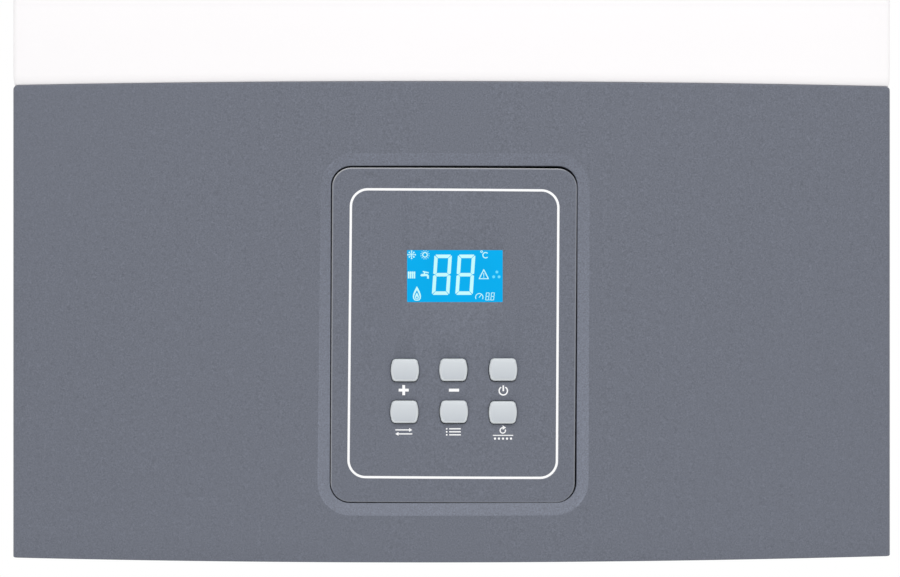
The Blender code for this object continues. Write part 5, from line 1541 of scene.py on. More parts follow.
for i, (a, b) in enumerate(zip(TUBES_Y, TUBES_Y[1:])):
    s = -1 if i % 2 == 0 else 1
    c, r = (a + b) / 2, abs(a - b) / 2
    pts = [(s * (END_X - 4), a, 505), (s * (END_X + 2), a, 505)]
    pts += [(s * (END_X + 2 + r * math.sin(t)), c + (a - c) * math.cos(t), 505) for t in [math.pi * q / 16 for q in range(1, 16)]]
    pts += [(s * (END_X + 2), b, 505), (s * (END_X - 4), b, 505)]
    bends.append(tube(pts, 8.0, smooth=False, sides=32, caps=False))
    for y in (a, b):
        collars.append(lathe([(8.0, -1.6), (8.7, -1.2), (8.9, 0), (8.7, 1.2), (8.0, 1.6)], (s * (END_X + 1.5), y, 505), "X", 32, True))
piece("exchanger_fins", [(merged(fins), "copper"), (merged(plates + tubes + bends), "copper"), (merged(collars), "brass")], "casing",
      ["primary_heat_exchanger"], smooth=40)

# ================================================================ flue hood, fan, pressure switch and its tube
FAN = (-45.0, 642.0)
PUMP = (140.0, 100.0)
SAFE = (98.0, 42.0)
FILLING = (104.0, -108.0)


def scroll_line(offset=0.0, n=60):
    """Outline of the fan's scroll: a spiral that opens upwards into the outlet."""
    pts = []
    for k in range(n + 1):
        a = math.radians(90 + 270 * k / n)
        r = 44 + 24 * k / n + offset
        pts.append((FAN[0] + r * math.cos(a), FAN[1] + r * math.sin(a)))
    return pts + [(23 + offset, 689.0), (-23 - offset, 689.0), (-23 - offset, 680.0)]


cheek = scroll_line(0.0)
front_cheek = prism(cheek, -175.5, -174.3, "Y", [circle(FAN[0], FAN[1], 9.0, 32)] +
                    [circle(FAN[0] + 27 * c, FAN[1], 1.6, 12) for c in (-1, 1)])
back_cheek = prism(cheek, -125.0, -123.8, "Y", [circle(FAN[0], FAN[1], 27.0, 48)])
spiral = [p for p in scroll_line(-0.7)[:-3]] + [(22.3, 689.0)]
spiral_in = [p for p in scroll_line(-1.7)[:-3]] + [(21.3, 689.0)]
band = prism(spiral + spiral_in[::-1], -174.6, -124.7, "Y")
tongue = prism([(-23.0, 689.0), (-23.0, 680.4), (-44.4, 686.0), (-44.4, 685.0), (-23.4, 679.0), (-22.0, 679.6), (-22.0, 689.0)],
               -174.6, -124.7, "Y")
seam = []
for y in (-175.8, -124.9):
    seam.append(prism(scroll_line(0.35)[:-3] + [(23.35, 688.9), (21.4, 688.9)] + scroll_line(-1.6)[:-3][::-1], y, y + 1.4, "Y"))
clips = []
for a in (200, 250, 300, 340):
    t = math.radians(a)
    r = 44 + 24 * (a - 90) / 270 - 0.9
    c = box((r - 0.5, -175.5, -4.0), (r + 0.85, -123.8, 4.0))
    c.transform(Matrix.Translation((FAN[0], 0, FAN[1])) @ Matrix.Rotation(-t, 4, "Y"))
    clips.append(c)
inlet = lathe([(27.0, -0.2), (29.8, 0.0), (29.8, -1.3), (27.4, -1.5), (26.3, -2.4), (25.6, -4.6), (25.2, -4.6), (25.7, -2.2), (26.4, -0.9)],
              (FAN[0], -123.8, FAN[1]), "Y", 48, True)
seam_ring = [lathe([(9.0, 0), (12.5, 0), (12.5, -0.5), (9.0, -0.5)], (FAN[0], -175.0, FAN[1]), "Y", 40, True)]
piece("fan_scroll", [(merged([front_cheek, back_cheek, band, tongue] + seam), "aluzinc"), (merged(clips), "zinc"),
                     (merged([inlet] + seam_ring), "steel_bright")], "casing", ["fan_housing"], smooth=40,
      weighted=True)

# wheel: a back disc, forty forward-curved blades and a front ring
blades = []
for k in range(40):
    blade = []
    for q in range(7):
        t = q / 6
        r = 30.2 + 7.4 * t
        a = -0.16 * t + 0.55 * (t ** 2) * 0.42
        blade.append((r * math.sin(a), r * math.cos(a)))
    out = [(x - 0.28 * (1 if q else 1), z) for q, (x, z) in enumerate(blade)] + [(x + 0.28, z) for x, z in blade[::-1]]
    b = prism(out, -168.6, -131.2, "Y")
    b.transform(Matrix.Translation((FAN[0], 0, FAN[1])) @ Matrix.Rotation(math.tau * k / 40, 4, "Y"))
    blades.append(b)
disc_bm = lathe([(0, 0.3), (30, 0.3), (36.4, 0.3), (37.0, 0.7), (37.0, 1.4), (36.4, 1.8), (29, 1.8), (12, 1.8), (0, 1.8), (0, 0.3)][:-1],
                (FAN[0], -170.0, FAN[1]), "Y", 64)
front_ring = lathe([(30.0, 0.2), (31, 0), (37.4, 0), (38.0, 0.4), (38.0, 1.2), (37.4, 1.6), (31, 1.6), (30.2, 1.2)], (FAN[0], -132.0, FAN[1]),
                   "Y", 64, True)
hub = lathe([(0, 0), (6.8, 0), (7.5, 0.7), (7.5, 12), (9.5, 14.2), (9.5, 15.2), (5.4, 15.4), (5.4, 17), (0, 17)], (FAN[0], -172, FAN[1]), "Y", 36)
shaft = lathe([(0, 0), (2.6, 0), (3.0, 0.4), (3.0, 47.4), (2.5, 48), (0, 48)], (FAN[0], -198, FAN[1]), "Y", 24)
weights = [box((FAN[0] + 33, -131.9, FAN[1] - 2.4), (FAN[0] + 37.4, -130.5, FAN[1] + 2.4))]
piece("fan_wheel", [(merged([disc_bm, front_ring] + blades + weights), "steel_bright"), (hub, "cast"), (shaft, "steel_bright")],
      "fan_impeller", ["fan_impeller"], smooth=40)

# motor: an open stack of laminations with its two coils and bearing bridges
stack_out = slab((-69.5, -212, 616.5), (-20.5, -190, 667.5), 3.0, "Y", 0.4)
coils = []
for s in (-1, 1):
    coils.append(soft(slab((FAN[0] - 9.5, -218.5, FAN[1] + s * 15.5 - 6.5), (FAN[0] + 9.5, -183.5, FAN[1] + s * 15.5 + 6.5), 4.0, "X"), 1.4, 3))
bridge = []
for y0, y1 in ((-221.4, -219.4), (-184.4, -182.4)):
    bridge.append(slab((-48.5 - 20, y0, 636), (-41.5 + 20, y1, 648), 4.0, "Y", 0.3))
bush = lathe([(3.8, 0), (9.0, 0), (11.0, 1.0), (11.0, 5.0), (7.0, 6.5), (3.8, 6.5)], (FAN[0], -188.0, FAN[1]), "Y", 36, True)
bush2 = lathe([(0, -0.6), (5.0, -0.6), (7.4, 0.2), (8.6, 2.2), (8.6, 4.4), (0, 4.4)], (FAN[0], -221.4, FAN[1]), "Y", 36)
posts = [lathe([(0, 0), (2.2, 0), (2.2, 40), (0, 40)], (FAN[0] + s * 18.5, -222.0, FAN[1]), "Y", 16) for s in (-1, 1)]
foot = slab((-83, -181, 630), (-7, -178.6, 654), 5.0, "Y", 0.3, [circle(FAN[0], FAN[1], 6.0, 24)])
legs = [box((FAN[0] + s * 30 - 4, -191, 636), (FAN[0] + s * 30 + 4, -180.5, 648)) for s in (-1, 1)]
arms = [soft(box((FAN[0] + s * 26 - 6, -192.4, 636), (FAN[0] + s * 26 + 6, -190.2, 648)), 0.3, 1) for s in (-1, 1)]
rubbers = [lathe([(0, 0), (5.2, 0), (5.8, 0.8), (5.8, 2.0), (4.6, 2.6), (4.6, 3.6), (0, 3.6)], (FAN[0] + s * 32, -184.6, FAN[1]), "Y", 24)
           for s in (-1, 1)]
cool = []
for k in range(8):
    a = math.tau * k / 8
    b = box((5.0, -221.9, -0.7), (22.0, -219.8, 0.7))
    b.transform(Matrix.Translation((FAN[0], 0, FAN[1])) @ Matrix.Rotation(a + 0.2, 4, "Y"))
    cool.append(b)
shroud = lathe([(27.6, 0), (29.0, 0), (29.0, 10.0), (27.6, 10.0)], (FAN[0], -222, FAN[1]), "Y", 48, True)
tagblock = slab((-66, -219, 650.5), (-56, -206, 664), 1.0, "Y", 0.4)
piece("fan_motor_stack", [(stack_out, "stack"), (merged(coils), "coil"), (merged(bridge + [bush, bush2] + posts), "cast"),
                          (merged([foot] + legs + arms), "zinc"), (merged(rubbers + cool), "rubber"), (merged([shroud]), "aluzinc"),
                          (tagblock, "cream")], "casing", ["fan_motor"], smooth=40, weighted=True)

# hood: a folded skirt that narrows up to the fan, and the duct behind the fan
def hood_loop(x0, x1, y0, y1, z, r=3.0):
    return [(x, y, z) for x, y in rounded((x0 + x1) / 2, (y0 + y1) / 2, x1 - x0, y1 - y0, r, 5)]


rows = [(-141, 141, -282, -108, 547), (-141, 141, -282, -108, 549.6), (-140.2, 139.8, -281.2, -108, 550.4),
        (-108.2, 68.2, -233.0, -108, 578.2), (-107.0, 67.0, -231.4, -108, 579.0)]
hood_shape = bmesh.new()
loops(hood_shape, [hood_loop(*v) for v in rows])
hood_shape.faces.new([hood_shape.verts.new(p) for p in hood_loop(*rows[-1])])
weld(hood_shape, 5e-3)
bmesh.ops.recalc_face_normals(hood_shape, faces=hood_shape.faces)
piece("hood_skirt", (hood_shape, "aluzinc"), "casing", ["flue_hood"], solid=1.0, smooth=40)
duct_line = rounded(-40, 625.3, 130, 130.6, 6, 6)
duct_walls = [soft(prism(duct_line, -123.4, -122.4, "Y", [circle(FAN[0], FAN[1], 29.0, 48)]), 0.3, 2, 50),
              prism(duct_line, -122.6, -108.9, "Y", [rounded(-40, 625.3, 128, 128.6, 5, 6)]), prism(duct_line, -109.0, -108.0, "Y")]
duct_shape = merged(duct_walls)
rim_seal = lathe([(29.0, 0), (33.0, 0), (33.0, -0.4), (29.0, -0.4)], (FAN[0], -123.4, FAN[1]), "Y", 48, True)
duct_beads = [soft(box((x - 2.0, -123.5, 566), (x + 2.0, -122.8, 606)), 0.35, 2) for x in (-92, -76, -14, 2)]
spots = [(x, -123.4, z) for x in (-99, 19) for z in (572, 628, 684)]
piece("hood_duct", [(merged([duct_shape] + duct_beads), "aluzinc"), (rim_seal, "fibre")] + pan_screws(spots, (0, -1, 0), 2.4, 0.38), "casing",
      smooth=40, weighted=True)

# pressure switch
C = (112.0, 636.0)
disc_prof = [(0, -200.2), (31.0, -200.2), (32.6, -201.2), (33.0, -203.0), (33.0, -208.6), (32.3, -209.2), (32.3, -210.2), (33.0, -210.8),
             (33.0, -215.0), (31.6, -217.2), (27.0, -218.0), (26.4, -220.6), (25.0, -221.4), (14.0, -221.4), (13.0, -222.2), (13.0, -225.0),
             (12.0, -226.0), (0, -226.0)]
disc_bm = lathe(disc_prof, (C[0], 0, C[1]), "Y", 72)
ribs = []
for k in range(12):
    b = box((14.0, -222.3, -0.8), (25.4, -220.8, 0.8))
    b.transform(Matrix.Translation((C[0], 0, C[1])) @ Matrix.Rotation(math.tau * k / 12, 4, "Y"))
    ribs.append(soft(b, 0.3, 1))
ports = [lathe([(1.2, 0), (2.0, 0), (2.6, 1.2), (2.2, 1.6), (2.2, 3.4), (2.6, 4.6), (2.2, 5.0), (2.2, 12.0), (1.2, 12.0)],
               (x, -208.0, 598.0), "Z", 24, True) for x in (104, 120)]
tabs = [slab((C[0] + dx - 3.1, -224.6 - 1.0, C[1] + dz - 0.4), (C[0] + dx + 3.1, -221.0, C[1] + dz + 0.4), 0.3, "Y")
        for dx, dz in ((-8, 17.5), (8, 17.5), (0, -18.5))]
screw_cap = lathe([(0, -226.0), (0, -225.2), (3.0, -225.2), (3.0, -226.0)][:-1] + [(3.0, -225.9)], (C[0], 0, C[1]), "Y", 20)
arm = merged([slab((108, -200.5, 655), (116, -199.0, 696.9), 1.0, "Y", 0.3), slab((108, -199.6, 695.7), (116, -190.0, 696.9), 1.0, "Z", 0.3),
              prism(strip([(-199.75, 690.0), (-199.75, 696.35), (-190.5, 696.35)], 1.2, 1.6, 5), 108, 116, "X")])
piece("switch_disc", [(merged([disc_bm] + ribs + ports), "cream_trim"), (merged(tabs), "brass"), (screw_cap, "red_paint"), (arm, "zinc")],
      "casing", ["air_pressure_switch"], smooth=35, weighted=True)

route = [(104, -208, 599.5), (104, -208, 587), (97, -206, 581), (84, -200, 584), (70, -186, 598), (60, -168, 622), (52, -155, 652),
         (40, -150, 667), (30, -150, 668), (23.4, -150, 668)]
piece("switch_tube", (tube(route, 3.2, 2.0, 20), "rubber"), "casing", ["pressure_tube"], smooth=50)

# ================================================================ water side
def braided(name, base=(0.62, 0.62, 0.63)):
    """Braided stainless wire: crossing bundles."""
    m = Nodes(name, 0.35, 1.0)
    cells, fine, cloud = m.voronoi(620.0), m.noise(1800.0, 2.0), m.noise(30.0, 2.0)
    c = m.mix(m.span(cells, 0.0, 1.0, 0.0, 0.7), scaled(base, 1.25), scaled(base, 0.35))
    c = m.mix(m.span(cloud, 0.0, 0.3), c, scaled(base, 0.7))
    m.colour(m.mix(m.math("MULTIPLY", m.edges(), 0.3), c, scaled(base, 1.4)))
    m.rough(m.span(fine, 0.24, 0.42))
    m.bump(cells, 0.6, 0.0004)
    return m.mat


MAT["braid"] = braided("braided_hose")
MAT["white_trim"] = moulded("white_trim_skin", (0.82, 0.82, 0.80), 0.4, 0.03)

# expansion vessel: two pressed halves crimped together
half = [(0, 41.0), (70, 40.6), (104, 39.0), (124, 35.0), (138, 29.0), (148, 20.5), (154, 11.5), (155.6, 6.0), (157.2, 5.4), (158.0, 4.0)]
prof = half + [(158.0, 1.0), (157.4, 0.0), (158.0, -1.0)] + [(r, -h) for r, h in half[::-1]]
vessel_shape = lathe(prof, (0, -59, 470), "Y", 120)
stub = lathe([(2.6, 304), (7.0, 304), (7.4, 304.6), (7.4, 309.5), (8.0, 310), (8.0, 311.5), (8.6, 312.4), (11.0, 313.4), (11.0, 315), (2.6, 315)],
             (0, -59, 0), "Z", 32, True)
valve_cap = lathe([(0, 0), (4.6, 0), (5.0, -0.6), (5.0, -7.4), (4.2, -8.0), (0, -8.0)], (-60, -96.6, 545), "Y", 28)
valve_seat = lathe([(0, 3.0), (9.0, 3.0), (8.4, 1.0), (5.6, 0.2), (0, 0.2)], (-60, -99.0, 545), "Y", 28)
clips = [soft(box((s * 150 - 7, -66.0, 470 - 9), (s * 150 + 7, -52.0, 470 + 9)), 0.6, 1) for s in (-1, 1)]
piece("vessel_shell", [(vessel_shape, "red_paint"), (merged([stub, valve_seat]), "brass"), (valve_cap, "black")], "casing",
      ["expansion_vessel"], smooth=30)

hose_route = [(0, -59, 300.5), (0, -59, 285), (16, -56, 264), (70, -50, 244), (118, -50, 214), (136, -56, 165), (138, -62, 134),
              (138, -78, 122), (138, -95.6, 122)]
hose = tube(hose_route, 4.8, 2.4, 20)
nuts = [nut((0, -59, 294.5), "Z", 15.5, 9.0), nut((138, -90.5, 122), "Y", 14.0, 5.0)]
sleeves = [lathe([(5.6, 0), (6.0, 0.6), (6.0, 8.4), (5.2, 9.0), (5.2, 0)], (0, -59, 285.4), "Z", 28, True),
           lathe([(5.6, 0), (6.0, 0.6), (6.0, 6.4), (5.2, 7.0), (5.2, 0)], (138, -97.4, 122), "Y", 28, True)]
piece("vessel_hose", [(hose, "braid"), (merged(nuts), "brass"), (merged(sleeves), "steel_bright")], "casing", ["expansion_hose"],
      smooth=40)

# pump: volute with its air separator and unions, and the motor with cooling ribs
volute_prof = [(0, -96.0), (38.0, -96.0), (42.5, -97.2), (44.6, -100.0), (45.0, -104.0), (45.0, -139.0), (44.0, -141.0), (45.0, -143.0), (45.0, -149.4),
               (44.4, -150.0), (40.0, -150.0), (40.0, -104.0), (0, -104.0)]
volute_bm = lathe(volute_prof, (PUMP[0], 0, PUMP[1]), "Y", 84)
side_block = soft(slab((56, -142, 28), (116, -99, 109), 6.0, "Y"), 2.0, 3, 50)
webs = [soft(box((55.2, y, 60), (57.4, y + 3, 100)), 0.5, 1) for y in (-136, -122, -108)]
lower = lathe([(0, 46.0), (13.2, 46.0), (14.0, 47.0), (14.0, 66.0), (0, 66.0)], (140, -120, 0), "Z", 40)
upper = lathe([(0, 134), (12.0, 134), (12.0, 146.0), (9.6, 147.0), (9.6, 150.0), (9.6, 156.0), (0, 156.0)], (140, -120, 0), "Z", 40)
unions = merged([nut((140, -120, 47.5), "Z", 26.0, 9.0, 9.0), nut((140, -120, 147.4), "Z", 21.6, 8.4, 8.2)])
lugs = [lathe([(0, -144.0), (5.0, -144.0), (5.0, -150.0), (0, -150.0)], (PUMP[0] + 40 * math.cos(a), 0, PUMP[1] + 40 * math.sin(a)), "Y", 24)
        for a in (math.radians(45), math.radians(135), math.radians(225), math.radians(315))]
test = merged([nut((70, -146, 44), "Y", 11.0, 5.0), screw((70, -142.0, 92), (0, -1, 0), 4.4, 2.0)])
piece("pump_volute", [(merged([volute_bm, side_block, lower, upper] + webs), "composite"), (merged([unions, test]), "brass")], "casing",
      ["pump_housing"], smooth=35, weighted=True)

motor_prof = [(0, -205.0), (9.6, -205.0), (10.4, -206.0), (36.0, -206.0), (39.6, -204.8), (40.0, -202.0), (40.0, -158.2), (44.0, -157.2), (45.0, -156.4),
              (45.0, -151.2), (44.2, -150.4), (6.0, -150.4), (6.0, -186.0), (0, -186.0)]
motor_bm = lathe(motor_prof, (PUMP[0], 0, PUMP[1]), "Y", 84)
ribs = []
for k in range(28):
    a = math.radians(-208 + k * 236 / 27)
    b = box((39.0, -201.0, -0.9), (42.6, -160.0, 0.9))
    b.transform(Matrix.Translation((PUMP[0], 0, PUMP[1])) @ Matrix.Rotation(-a, 4, "Y"))
    ribs.append(soft(b, 0.35, 1))
cap_bm = merged([lathe([(0, -206.0), (9.0, -206.0), (9.0, -208.4), (8.2, -209.0), (0, -209.0)], (PUMP[0], 0, PUMP[1]), "Y", 40)])
cap_mark = box((PUMP[0] - 6.6, -209.15, PUMP[1] - 0.8), (PUMP[0] + 6.6, -208.9, PUMP[1] + 0.8))
socket = [socket_screw((PUMP[0] + 40.8 * math.cos(a), -157.0, PUMP[1] + 40.8 * math.sin(a)), (0, -1, 0), 3.0, 4.0)
          for a in (math.radians(40), math.radians(140), math.radians(220), math.radians(320))]
terminal = soft(slab((PUMP[0] - 24, -212, PUMP[1] + 26), (PUMP[0] + 24, -172, PUMP[1] + 58), 4.0, "Y"), 1.4, 3, 50)
lid = soft(slab((PUMP[0] - 22, -213.2, PUMP[1] + 28), (PUMP[0] + 22, -211.6, PUMP[1] + 56), 3.0, "Y"), 0.5, 2, 50)
entry = nut((PUMP[0] - 24, -190, PUMP[1] + 44), "X", 13.0, 3.0)
turned(entry, math.pi, "Z", (PUMP[0] - 24, -190, PUMP[1] + 44))
dial = lathe([(0, -213.2), (7.0, -213.2), (7.6, -213.8), (7.6, -216.4), (6.8, -217.2), (0, -217.2)], (PUMP[0] + 9, 0, PUMP[1] + 42), "Y", 40)
dial_mark = box((PUMP[0] + 8.4, -217.4, PUMP[1] + 42), (PUMP[0] + 9.6, -217.1, PUMP[1] + 48.4))
lid_screws = pan_screws([(PUMP[0] - 17, -213.2, PUMP[1] + 33), (PUMP[0] - 17, -213.2, PUMP[1] + 51)], (0, -1, 0), 2.2, 1.1)
piece("pump_motor_case", [(merged([motor_bm] + ribs), "cast"), (cap_bm, "brass"), (merged([cap_mark, dial_mark]), "ink"), (merged(socket), "zinc"),
                          (merged([terminal, lid, entry]), "black"), (dial, "cream_trim")] + lid_screws, "casing", ["pump_motor"],
      smooth=35, weighted=True)

vanes = []
for k in range(6):
    line = []
    for q in range(9):
        r, a = 10 + 22 * q / 8, 0.95 * (q / 8) ** 1.1
        line.append((r * math.sin(a), r * math.cos(a), r, a))
    out = [(x - 0.9 * math.cos(a), z + 0.9 * math.sin(a)) for x, z, r, a in line] + \
          [(x + 0.9 * math.cos(a), z - 0.9 * math.sin(a)) for x, z, r, a in line[::-1]]
    v = prism(out, -138.0, -120.0, "Y")
    v.transform(Matrix.Translation((PUMP[0], 0, PUMP[1])) @ Matrix.Rotation(math.tau * (k + 0.13) / 6, 4, "Y"))
    vanes.append(v)
wheel = lathe([(0, -140), (32.4, -140), (33, -139.4), (33, -138.0), (32.4, -137.5), (12, -137.5), (10, -135), (10, -117.0), (9, -116.0), (0, -116.0)],
              (PUMP[0], 0, PUMP[1]), "Y", 64)
shaft = lathe([(0, -183), (3.8, -183), (4.2, -182.4), (4.2, -139.8), (0, -139.8)], (PUMP[0], 0, PUMP[1]), "Y", 28)
piece("pump_wheel", [(merged([wheel] + vanes), "composite"), (shaft, "steel_bright")], "pump_impeller", ["pump_impeller"],
      smooth=40)

vent_bm = lathe([(0, 0), (10, 0), (10, 3.2), (8.8, 3.8), (8.8, 8.4), (11.5, 9.4), (15.4, 11.6), (16, 13.0), (16, 33.2), (15.3, 34), (16, 34.8), (16, 55.6),
                 (14.8, 58.0), (10.0, 60.2), (7.4, 61.2), (6.0, 62.0), (6.0, 64.4), (0, 64.4)], (75, -120, 109.4), "Z", 60)
vent_hex = nut((75, -120, 109.5), "Z", 19.0, 6.4)
knurl = merged([lathe([(0, 64), (5.2, 64), (5.2, 73), (4.4, 74), (0, 74)], (75, -120, 109.4), "Z", 40)] +
               [box((75 + 5.0 * math.cos(a) - 0.35, -120 + 5.0 * math.sin(a) - 0.35, 174.0), (75 + 5.0 * math.cos(a) + 0.35, -120 + 5.0 * math.sin(a) + 0.35, 182.4))
                for a in [math.tau * k / 20 for k in range(20)]])
piece("vent_bottle", [(merged([vent_bm, vent_hex]), "brass"), (knurl, "black")], "casing", ["air_vent"], smooth=35)

sv_bm = lathe([(0, -142.4), (9, -142.4), (9, -148.4), (10.2, -149.6), (10.2, -151.6), (11, -152.4), (11, -163.0), (9.6, -165.0), (8.4, -166.4), (8, -169.4),
               (0, -169.4)], (SAFE[0], 0, SAFE[1]), "Y", 48)
sv_hex = nut((SAFE[0], -148.8, SAFE[1]), "Y", 19.5, 4.2)
sv_side = turned(lathe([(3.4, 0), (6.0, 0), (6.0, 4.0), (5.2, 5.0), (5.2, 6.5), (6.0, 7.4), (6.0, 20.0), (3.4, 20.0)], (SAFE[0], -158, SAFE[1]), "X", 32, True),
                 math.pi, "Z", (SAFE[0], -158, SAFE[1]))
piece("safety_valve_brass", [(merged([sv_bm, sv_side]), "brass"), (sv_hex, "brass")], "casing", ["safety_valve"], smooth=35)

knob_bm = knob_shape(14.0, 8, 1.7, -170.0, -187.0, SAFE, "Y", 1.4, 2.2)
mark = soft(slab((SAFE[0] - 0.9, -186.4, SAFE[1] + 1.0), (SAFE[0] + 0.9, -185.2, SAFE[1] + 7.6), 0.8, "Y"), 0.2, 1)
piece("safety_valve_cap", [(knob_bm, "knob_red"), (mark, "white_trim")], "safety_valve_knob", ["safety_valve_knob"],
      smooth=40)
knob_bm = knob_shape(12.5, 6, 2.2, 3.0, -15.0, FILLING, "Z", 1.4, 2.2)
stem = lathe([(0, 2.6), (5.4, 2.6), (5.4, 5.0), (4.0, 6.0), (4.0, 26.6), (3.4, 27.4), (0, 27.4)], (FILLING[0], FILLING[1], 0), "Z", 28)
mark = soft(slab((FILLING[0] - 0.8, FILLING[1] - 7.4, -14.6), (FILLING[0] + 0.8, FILLING[1] - 1.0, -13.3), 0.7, "Z"), 0.2, 1)
piece("filling_tap_cap", [(knob_bm, "knob_blue"), (stem, "brass"), (mark, "white_trim")], "filling_tap_knob", ["filling_tap_knob"],
      smooth=40)

# diverter valve and its motor
dv_bm = lathe([(0, 46), (12.4, 46), (13, 46.6), (13, 66), (17, 68.6), (20.4, 70), (21, 71), (21, 112), (20.2, 113), (20.2, 117), (21, 118), (21, 176),
               (20.2, 178), (13.4, 180), (13, 181), (13, 185.6), (9.6, 186.6), (9.6, 196), (0, 196)], (-140, -120, 0), "Z", 60)
dv_block = soft(slab((-140, -140, 62), (-58, -99, 112), 5.0, "Y"), 2.2, 3, 50)
dv_port = lathe([(0, 46), (10.4, 46), (11, 46.6), (11, 58), (12.6, 60), (12.6, 64), (0, 64)], (-75, -120, 0), "Z", 40)
dv_front = lathe([(0, -118), (12, -118), (12, -146.4), (11.4, -147.0), (11.4, -149.6), (0, -149.6)], (-140, 0, 147), "Y", 48)
dv_nuts = merged([nut((-140, -120, 47.5), "Z", 24.0, 8.6, 8.0), nut((-75, -120, 47.2), "Z", 20.0, 8.0, 7.0), nut((-140, -120, 187.0), "Z", 21.6, 8.6, 8.2),
                  nut((-76, -144, 92), "Y", 10.5, 5.0)])
dv_ribs = [soft(box((-120 + 14 * k, -141.0, 66), (-117.6 + 14 * k, -98.0, 108)), 0.5, 1) for k in range(4)]
ring = lathe([(12, 0), (14.4, 0.5), (14.4, 3.0), (12, 3.5)], (-140, -149.4, 147), "Y", 40, True)
piece("diverter_body", [(merged([dv_bm, dv_block, dv_port, dv_front] + dv_ribs), "brass"), (dv_nuts, "brass"), (ring, "zinc")], "casing",
      ["diverter_valve"], smooth=35, weighted=True)
dm_case = soft(slab((-166, -191, 124), (-114, -150, 170), 5.0, "Y"), 1.6, 3, 50)
dm_lid = soft(slab((-164.6, -196, 125.4), (-115.4, -191.5, 168.6), 4.4, "Y"), 1.2, 3, 50)
dm_plug = merged([slab((-160, -189, 117), (-142, -176, 125), 1.2, "Z", 0.4), slab((-158, -187, 112), (-144, -178, 117.4), 1.0, "Z", 0.3)])
# Painted shade: thin dark bars stand for the vent slots in the lid.
dm_slots = [soft(box((-158 + 5 * k, -196.15, 131), (-156 + 5 * k, -195.7, 141)), 0.1, 1) for k in range(5)]
piece("diverter_drive", [(dm_case, "black"), (dm_lid, "cream_trim"), (dm_plug, "white_trim"), (merged(dm_slots), "dark")] +
      pan_screws([(x, -196.0, z) for x in (-160, -120) for z in (163.5,)] + [(-120, -196.0, 130.5)], (0, -1, 0), 2.2, 1.1), "casing",
      ["diverter_motor"], smooth=35, weighted=True)

# plate heat exchanger
sheets = []
for k in range(12):
    y = -88 + k * 2.6
    o = 0.0 if k in (0, 11) else 0.5
    sheets.append(soft(prism(rounded(0, 108, 192 - 2 * o, 80 - 2 * o, 12.0, 8), y + 0.05, y + 1.75, "Y"), 0.5, 2, 50))
core_bm = prism(rounded(0, 108, 188.6, 76.6, 10.6, 8), -87.0, -58.4, "Y")
bars = []
for s in (-1, 1):
    for k in range(9):
        b = soft(box((-25, -0.35, -0.9), (25, 0.35, 0.9)), 0.3, 1)
        b.transform(Matrix.Translation((-60 + 15 * k, -88.0, 108 + s * 14)) @ Matrix.Rotation(s * math.radians(35), 4, "Y")
                    @ Matrix.Scale(0.55, 4, (1, 0, 0)))
        bars.append(b)
ports = merged([nut((x, -88.6, z), "Y", 17.0, 0.9, 6.0) for x in (-82, 82) for z in (84, 132)])
piece("plate_exchanger_stack", [(merged(sheets + bars), "steel_bright"), (core_bm, "copper"), (ports, "steel")], "casing",
      ["plate_heat_exchanger"], smooth=35, weighted=True)

# pipes to and from the primary heat exchanger
pipe_bm = tube([(140, -120, 156.6), (140, -120, 176), (150, -124, 205), (166, -134, 240), (168, -138, 300), (168, -138, 440),
                (168, -137, 478), (163, -134, 498), (152, -132, 505), (133.4, -132, 505)], 8.0, 3.0, 36)
nuts = merged([nut((133.6, -132, 505), "X", 18.6, 8.0, 8.0), lathe([(8.0, 0), (9.6, 0.5), (9.6, 2.4), (8.0, 3.0)], (140, -120, 158), "Z", 36, True)])
piece("return_pipe_bend", [(pipe_bm, "copper"), (nuts, "brass")], "casing", ["return_pipe_to_exchanger"], smooth=50)
pipe_bm = tube([(-140, -120, 196.6), (-140, -120, 214), (-150, -132, 240), (-164, -165, 268), (-168, -215, 292), (-168, -246, 330),
                (-168, -256, 380), (-168, -260, 450), (-167, -260, 482), (-162, -260, 498), (-152, -260, 505), (-133.4, -260, 505)], 8.0, 3.0, 36)
nuts = merged([nut((-141.6, -260, 505), "X", 18.6, 8.0, 8.0), lathe([(8.0, 0), (9.6, 0.5), (9.6, 2.4), (8.0, 3.0)], (-140, -120, 198), "Z", 36, True)])
limiter = merged([slab((-178.5, -262 - 8, 410), (-176.0, -262 + 8, 430), 1.0, "X", 0.3), slab((-181.0, -265, 414), (-178.4, -255, 426), 2.0, "X", 0.5)])
piece("flow_pipe_bend", [(pipe_bm, "copper"), (nuts, "brass"), (limiter, "black")], "casing", ["flow_pipe_from_exchanger"], smooth=50)

# ================================================================ gas valve
gv = [soft(slab((-38, -192, 96), (48, -104, 148), 4.0, "Z"), 1.8, 3, 50)]
for z in (104, 122, 140):
    gv.append(soft(box((-38.8, -180, z - 1.4), (48.8, -116, z + 1.4)), 0.6, 1))
gv.append(lathe([(0, 86), (13.2, 86), (14, 87), (14, 97), (0, 97)], (0, -120, 0), "Z", 44))
gv.append(lathe([(0, 146), (12.5, 146), (11, 150), (11, 184.6), (10.2, 186), (6.6, 186), (6.6, 176), (0, 176)], (30, -165, 0), "Z", 44))
gv_plate = merged([soft(slab((-2, -195.4, 106), (40, -191.6, 138), 3.0, "Y"), 0.6, 2, 50),
                   lathe([(0, 0), (8.0, 0), (8.6, -0.8), (8.6, -1.6), (0, -1.6)], (26, -194.9, 122), "Y", 40)])
coil_a = lathe([(0, 147.6), (14.0, 147.6), (14.0, 178.0), (12.6, 180.6), (8.0, 182.4), (4.6, 184.0), (0, 184.0)], (-16, -150, 0), "Z", 56)
coil_b = lathe([(0, 147.6), (12.0, 147.6), (12.0, 170.4), (10.8, 172.6), (7.0, 174.4), (4.0, 176.0), (0, 176.0)], (-16, -178, 0), "Z", 56)
